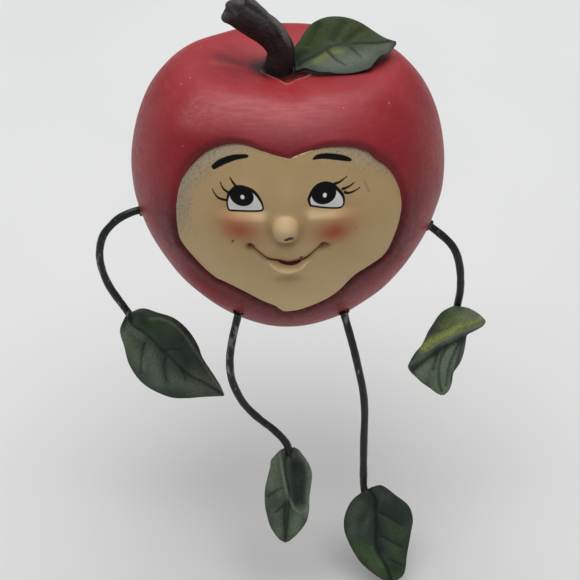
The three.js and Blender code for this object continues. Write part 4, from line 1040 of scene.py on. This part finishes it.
def build_leaf(name, plan, wire_end=None):
    far, mid, near = (even_path(plan[margin], LEAF_STEPS) for margin in ("far", "mid", "near"))
    sides = np.sin(np.linspace(1, -1, 2 * LEAF_HALF_SIDES + 1) * math.pi / 2)
    flat = np.stack([mid + ((far - mid) if s > 0 else (mid - near)) * s for s in sides], 1).reshape(-1, 2)
    x, y = flat.T
    side = np.tile(sides, LEAF_STEPS)
    share = np.repeat(np.linspace(0, 1, LEAF_STEPS), len(sides))
    vein = leaf_veins(plan, mid, flat)
    height = plan["form"](x, y, side) - VEIN_DEPTH * bump(np.maximum(vein + 0.15, 0), 0.5)
    for path, width, depth in plan["folds"]:
        height = height - depth * soft_line(flat, path, width)
    uneven = wander(np.column_stack([flat, 0 * x]), 8, len(name))
    height = height + 0.2 * uneven * smooth(np.abs(side), 0.1, 0.5)
    round_sides = np.clip(1 - np.abs(side) ** 14, 0, 1)
    round_ends = np.clip(1 - np.abs(2 * share - 1) ** 40, 0, 1)
    thick = mix(LEAF_THICKNESS, LEAF_EDGE, side ** 2) * np.maximum(np.sqrt(round_sides * round_ends), 0.02)
    top, bottom = height + thick / 2, height - thick / 2
    axes, base = np.array(leaf_axes(plan)), np.array(plan["base"], float)
    if wire_end is not None:
        bottom = leaf_boss(flat, bottom, (wire_end - base) @ axes.T)

    def both(front, back):
        """The front's values and then the back's in reverse, so that each row is a closed ring."""
        front, back = (np.reshape(v, (LEAF_STEPS, len(sides), -1)) for v in (front, back))
        return np.concatenate([front, back[:, ::-1]], axis=1).reshape(-1, front.shape[2])

    points = base + both(np.column_stack([flat, top]), np.column_stack([flat, bottom])) @ axes
    face_up = both(np.ones(len(flat)), np.zeros(len(flat))).ravel()
    values = {"vein": both(vein, vein).ravel()}
    for paint in ("pale", "green", "lime", "shade"):
        coat = 0 * x
        for path, width, amount in plan.get(paint, []):
            coat = np.maximum(coat, amount * soft_line(flat, path, width))
        values[paint] = both(coat, coat).ravel() * mix(0.35, 1.0, face_up)
    # shade is painted shade, and the backs are painted darker
    values["shade"] = np.clip(mix(plan.get("deep", 0.0), 1, values["shade"]) + 0.35 * (1 - face_up), 0, 1)
    if name == "crown_leaf":
        points = lean_back(points)
    return ringed_piece(name + "_blade", points, 2 * len(sides), LEAF, values)


# The wires: one tree sweeps a round section along each route, another sets a bead of glue round each hole
def start_tree(name, sockets):
    tree = bpy.data.node_groups.new(name, "GeometryNodeTree")
    tree.interface.new_socket(name="Start", in_out="INPUT", socket_type="NodeSocketGeometry")
    for label, kind in sockets.items():
        tree.interface.new_socket(name=label, in_out="INPUT", socket_type=kind)
    tree.interface.new_socket(name="Made", in_out="OUTPUT", socket_type="NodeSocketGeometry")
    return tree, tree.nodes.new("NodeGroupInput").outputs


def finish_tree(tree, made, finish):
    """Shades what a tree makes smooth, paints it and gives it out."""
    smoothed = add(tree, "GeometryNodeSetShadeSmooth", {"Geometry": made})
    painted = add(tree, "GeometryNodeSetMaterial", {"Geometry": smoothed, "Material": finish})
    add(tree, "NodeGroupOutput", {"Made": painted})
    return tree


def sweep_tree():
    tree, given = start_tree("wire_sweep", {
        "Radius": "NodeSocketFloat", "Sides": "NodeSocketInt", "Worn_at": "NodeSocketFloat",
        "Worn_over": "NodeSocketFloat", "Worn": "NodeSocketFloat", "Finish": "NodeSocketMaterial"})
    run = add(tree, "GeometryNodeSplineParameter", out="Length")
    away = add(tree, "ShaderNodeMath", {0: run, 1: given["Worn_at"]}, operation="SUBTRACT")
    away = add(tree, "ShaderNodeMath", {0: away}, operation="ABSOLUTE")
    handled = add(tree, "ShaderNodeMapRange", {0: away, 2: given["Worn_over"], 3: given["Worn"], 4: 0.0})
    route = add(tree, "GeometryNodeStoreNamedAttribute", {
        "Geometry": given["Start"], "Name": "handled", "Value": handled})
    place = add(tree, "GeometryNodeInputPosition")
    dents = add(tree, "ShaderNodeTexNoise", {"Vector": place, "Scale": per(5)})
    swell = add(tree, "ShaderNodeMapRange", {0: dents, 1: 0.25, 2: 0.75, 3: 0.93, 4: 1.07})
    section = add(tree, "GeometryNodeCurvePrimitiveCircle", {
        "Resolution": given["Sides"], "Radius": given["Radius"]})
    swept = add(tree, "GeometryNodeCurveToMesh", {
        "Curve": route, "Profile Curve": section, "Scale": swell, "Fill Caps": True})
    real = add(tree, "GeometryNodeRealizeInstances", {"Geometry": swept})
    return finish_tree(tree, real, given["Finish"])


def glue_tree():
    tree, given = start_tree("glue_beads", {
        "Ring": "NodeSocketFloat", "Bead": "NodeSocketFloat", "Finish": "NodeSocketMaterial"})
    ring = add(tree, "GeometryNodeCurvePrimitiveCircle", {"Resolution": 32, "Radius": given["Ring"]})
    bead = add(tree, "GeometryNodeCurvePrimitiveCircle", {"Resolution": 14, "Radius": given["Bead"]})
    round_bead = add(tree, "GeometryNodeCurveToMesh", {"Curve": ring, "Profile Curve": bead})
    way = add(tree, "GeometryNodeInputNamedAttribute", {"Name": "out"}, data_type="FLOAT_VECTOR")
    turn = add(tree, "FunctionNodeAlignRotationToVector", {"Vector": way}, axis="Z")
    placed = add(tree, "GeometryNodeInstanceOnPoints", {
        "Points": given["Start"], "Instance": round_bead, "Rotation": turn})
    real = add(tree, "GeometryNodeRealizeInstances", {"Geometry": placed})
    place = add(tree, "GeometryNodeInputPosition")
    lumps = add(tree, "ShaderNodeTexNoise", {"Vector": place, "Scale": per(2), "Detail": 1.0}, "Color")
    push = add(tree, "ShaderNodeVectorMath", {0: lumps, 1: (0.5, 0.5, 0.5)}, operation="SUBTRACT")
    push = add(tree, "ShaderNodeVectorMath", {0: push, "Scale": GLUE_LUMPS * MM}, operation="SCALE")
    lumpy = add(tree, "GeometryNodeSetPosition", {"Geometry": real, "Offset": push})
    chipped = add(tree, "GeometryNodeStoreNamedAttribute", {
        "Geometry": lumpy, "Name": "handled", "Value": 0.8})
    return finish_tree(tree, chipped, given["Finish"])


def grown(name, data, tree, given):
    """What a tree makes of a curve or of points, as a plain mesh."""
    carrier = put(name + "_start", data)
    modifier = carrier.modifiers.new("grow", "NODES")
    modifier.node_group = tree
    for socket in tree.interface.items_tree:
        if socket.name in given:
            modifier[socket.identifier] = given[socket.name]
    carrier.update_tag()
    bpy.context.view_layer.update()
    mesh = bpy.data.meshes.new_from_object(carrier.evaluated_get(bpy.context.evaluated_depsgraph_get()))
    mesh.name = name
    bpy.data.objects.remove(carrier)
    return put(name, mesh)


def build_wire(name, limb, tree):
    bend, out = np.array(limb["bend"]), unit(limb["out"])
    inside = [bend - out * back for back in (ROOT_LENGTH + 7, ROOT_LENGTH + 2, 2.6)]
    route = even_path(inside + [bend + np.array(p) for p in limb["route"]], WIRE_STEPS) * MM
    curve = bpy.data.curves.new(name + "_route", "CURVE")
    curve.dimensions = "3D"
    line = curve.splines.new("POLY")
    line.points.add(len(route) - 1)
    line.points.foreach_set("co", np.column_stack([route, np.ones(len(route))]).ravel())
    worn_at, worn_over, worn = limb["worn"]
    return grown(name + "_bent_wire", curve, tree, {
        "Radius": WIRE_RADIUS * MM, "Sides": WIRE_SIDES, "Worn_at": worn_at * MM, "Worn_over": worn_over * MM,
        "Worn": worn, "Finish": WIRE})


def build_glue():
    out = unit([limb["out"] for limb in LIMBS.values()])
    holes = np.array([limb["bend"] for limb in LIMBS.values()]) - out * ROOT_LENGTH
    mesh = bpy.data.meshes.new("wire_holes")
    mesh.from_pydata((holes * MM).tolist(), [], [])
    ways = mesh.attributes.new("out", "FLOAT_VECTOR", "POINT")
    ways.data.foreach_set("vector", out.astype(np.float32).ravel())
    return grown("glue_at_wire_holes", mesh, glue_tree(), {
        "Ring": GLUE_RING * MM, "Bead": GLUE_BEAD * MM, "Finish": WIRE})


# Dressing the frame
def dress(made, body, slot, *nodes):
    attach(made, body)
    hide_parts(*nodes)


dress(build_apple(), "apple", "apple_red", "apple_body")
dress(build_face(), "apple", "face_cream", "face_panel")
dress(build_stem(), "apple", "stem_brown", "stem")
for leaf_name, leaf_plan in LEAVES.items():
    carrier_limb = LIMBS.get(leaf_plan["body"])
    wire_end = None
    if carrier_limb:
        wire_end = np.array(carrier_limb["bend"]) + np.array(carrier_limb["route"][-2:])
    dress(build_leaf(leaf_name, leaf_plan, wire_end), leaf_plan["body"], "leaf_green", leaf_name)
glue = build_glue()
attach(glue, "apple")
wire_tree = sweep_tree()
for limb_name, limb in LIMBS.items():
    wire = build_wire(limb_name, limb, wire_tree)
    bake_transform(wire)
    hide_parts(limb_name + "_root", limb_name + "_wire")

# Floor, light and camera, in metres
FLOOR_Z = cad_box[0].z - 0.002
FLOOR_REACH = 3
LAMPS = [("overhead_softbox", (0, 0.03, 0.95), (1.1, 0.7), 6.9),
         ("strip_behind", (0, 0.7, 0.8), (1.2, 0.3), 4.4)]
LAMPS_AIM = Vector((0, 0, 0.03))
CAMERA_PLACE, CAMERA_TILT = (0.0007, -0.4785, 0.4136), math.radians(49)
CAMERA_LENS, CAMERA_SENSOR = 105.8, 36  # in millimetres, as a camera has them

floor_mesh = bpy.data.meshes.new("floor")
corners = [(x * FLOOR_REACH, y * FLOOR_REACH, FLOOR_Z) for x, y in ((-1, -1), (1, -1), (1, 1), (-1, 1))]
floor_mesh.from_pydata(corners, [], [(0, 1, 2, 3)])
floor_mesh.materials.append(white_board())
floor = put("floor", floor_mesh)

world = bpy.data.worlds.new("soft_room")
bpy.context.scene.world = world
world.use_nodes = True
world.node_tree.nodes.clear()
sky = add(world.node_tree, "ShaderNodeBackground", {"Color": linear("#f1f3f5"), "Strength": 0.33})
add(world.node_tree, "ShaderNodeOutputWorld", {"Surface": sky})

for lamp_name, place, size, watts in LAMPS:
    lamp = bpy.data.lights.new(lamp_name, "AREA")
    lamp.shape = "RECTANGLE"
    lamp.size, lamp.size_y = size
    lamp.energy = watts
    holder = put(lamp_name, lamp)
    holder.location = place
    holder.rotation_euler = (LAMPS_AIM - Vector(place)).to_track_quat("-Z", "Y").to_euler()

camera_data = bpy.data.cameras.new("camera")
camera_data.lens = CAMERA_LENS
camera_data.sensor_width = CAMERA_SENSOR
camera = put("camera", camera_data)
camera.location = CAMERA_PLACE
camera.rotation_euler = (CAMERA_TILT, 0, 0)
bpy.context.scene.camera = camera
bpy.context.scene.view_settings.view_transform = "Standard"
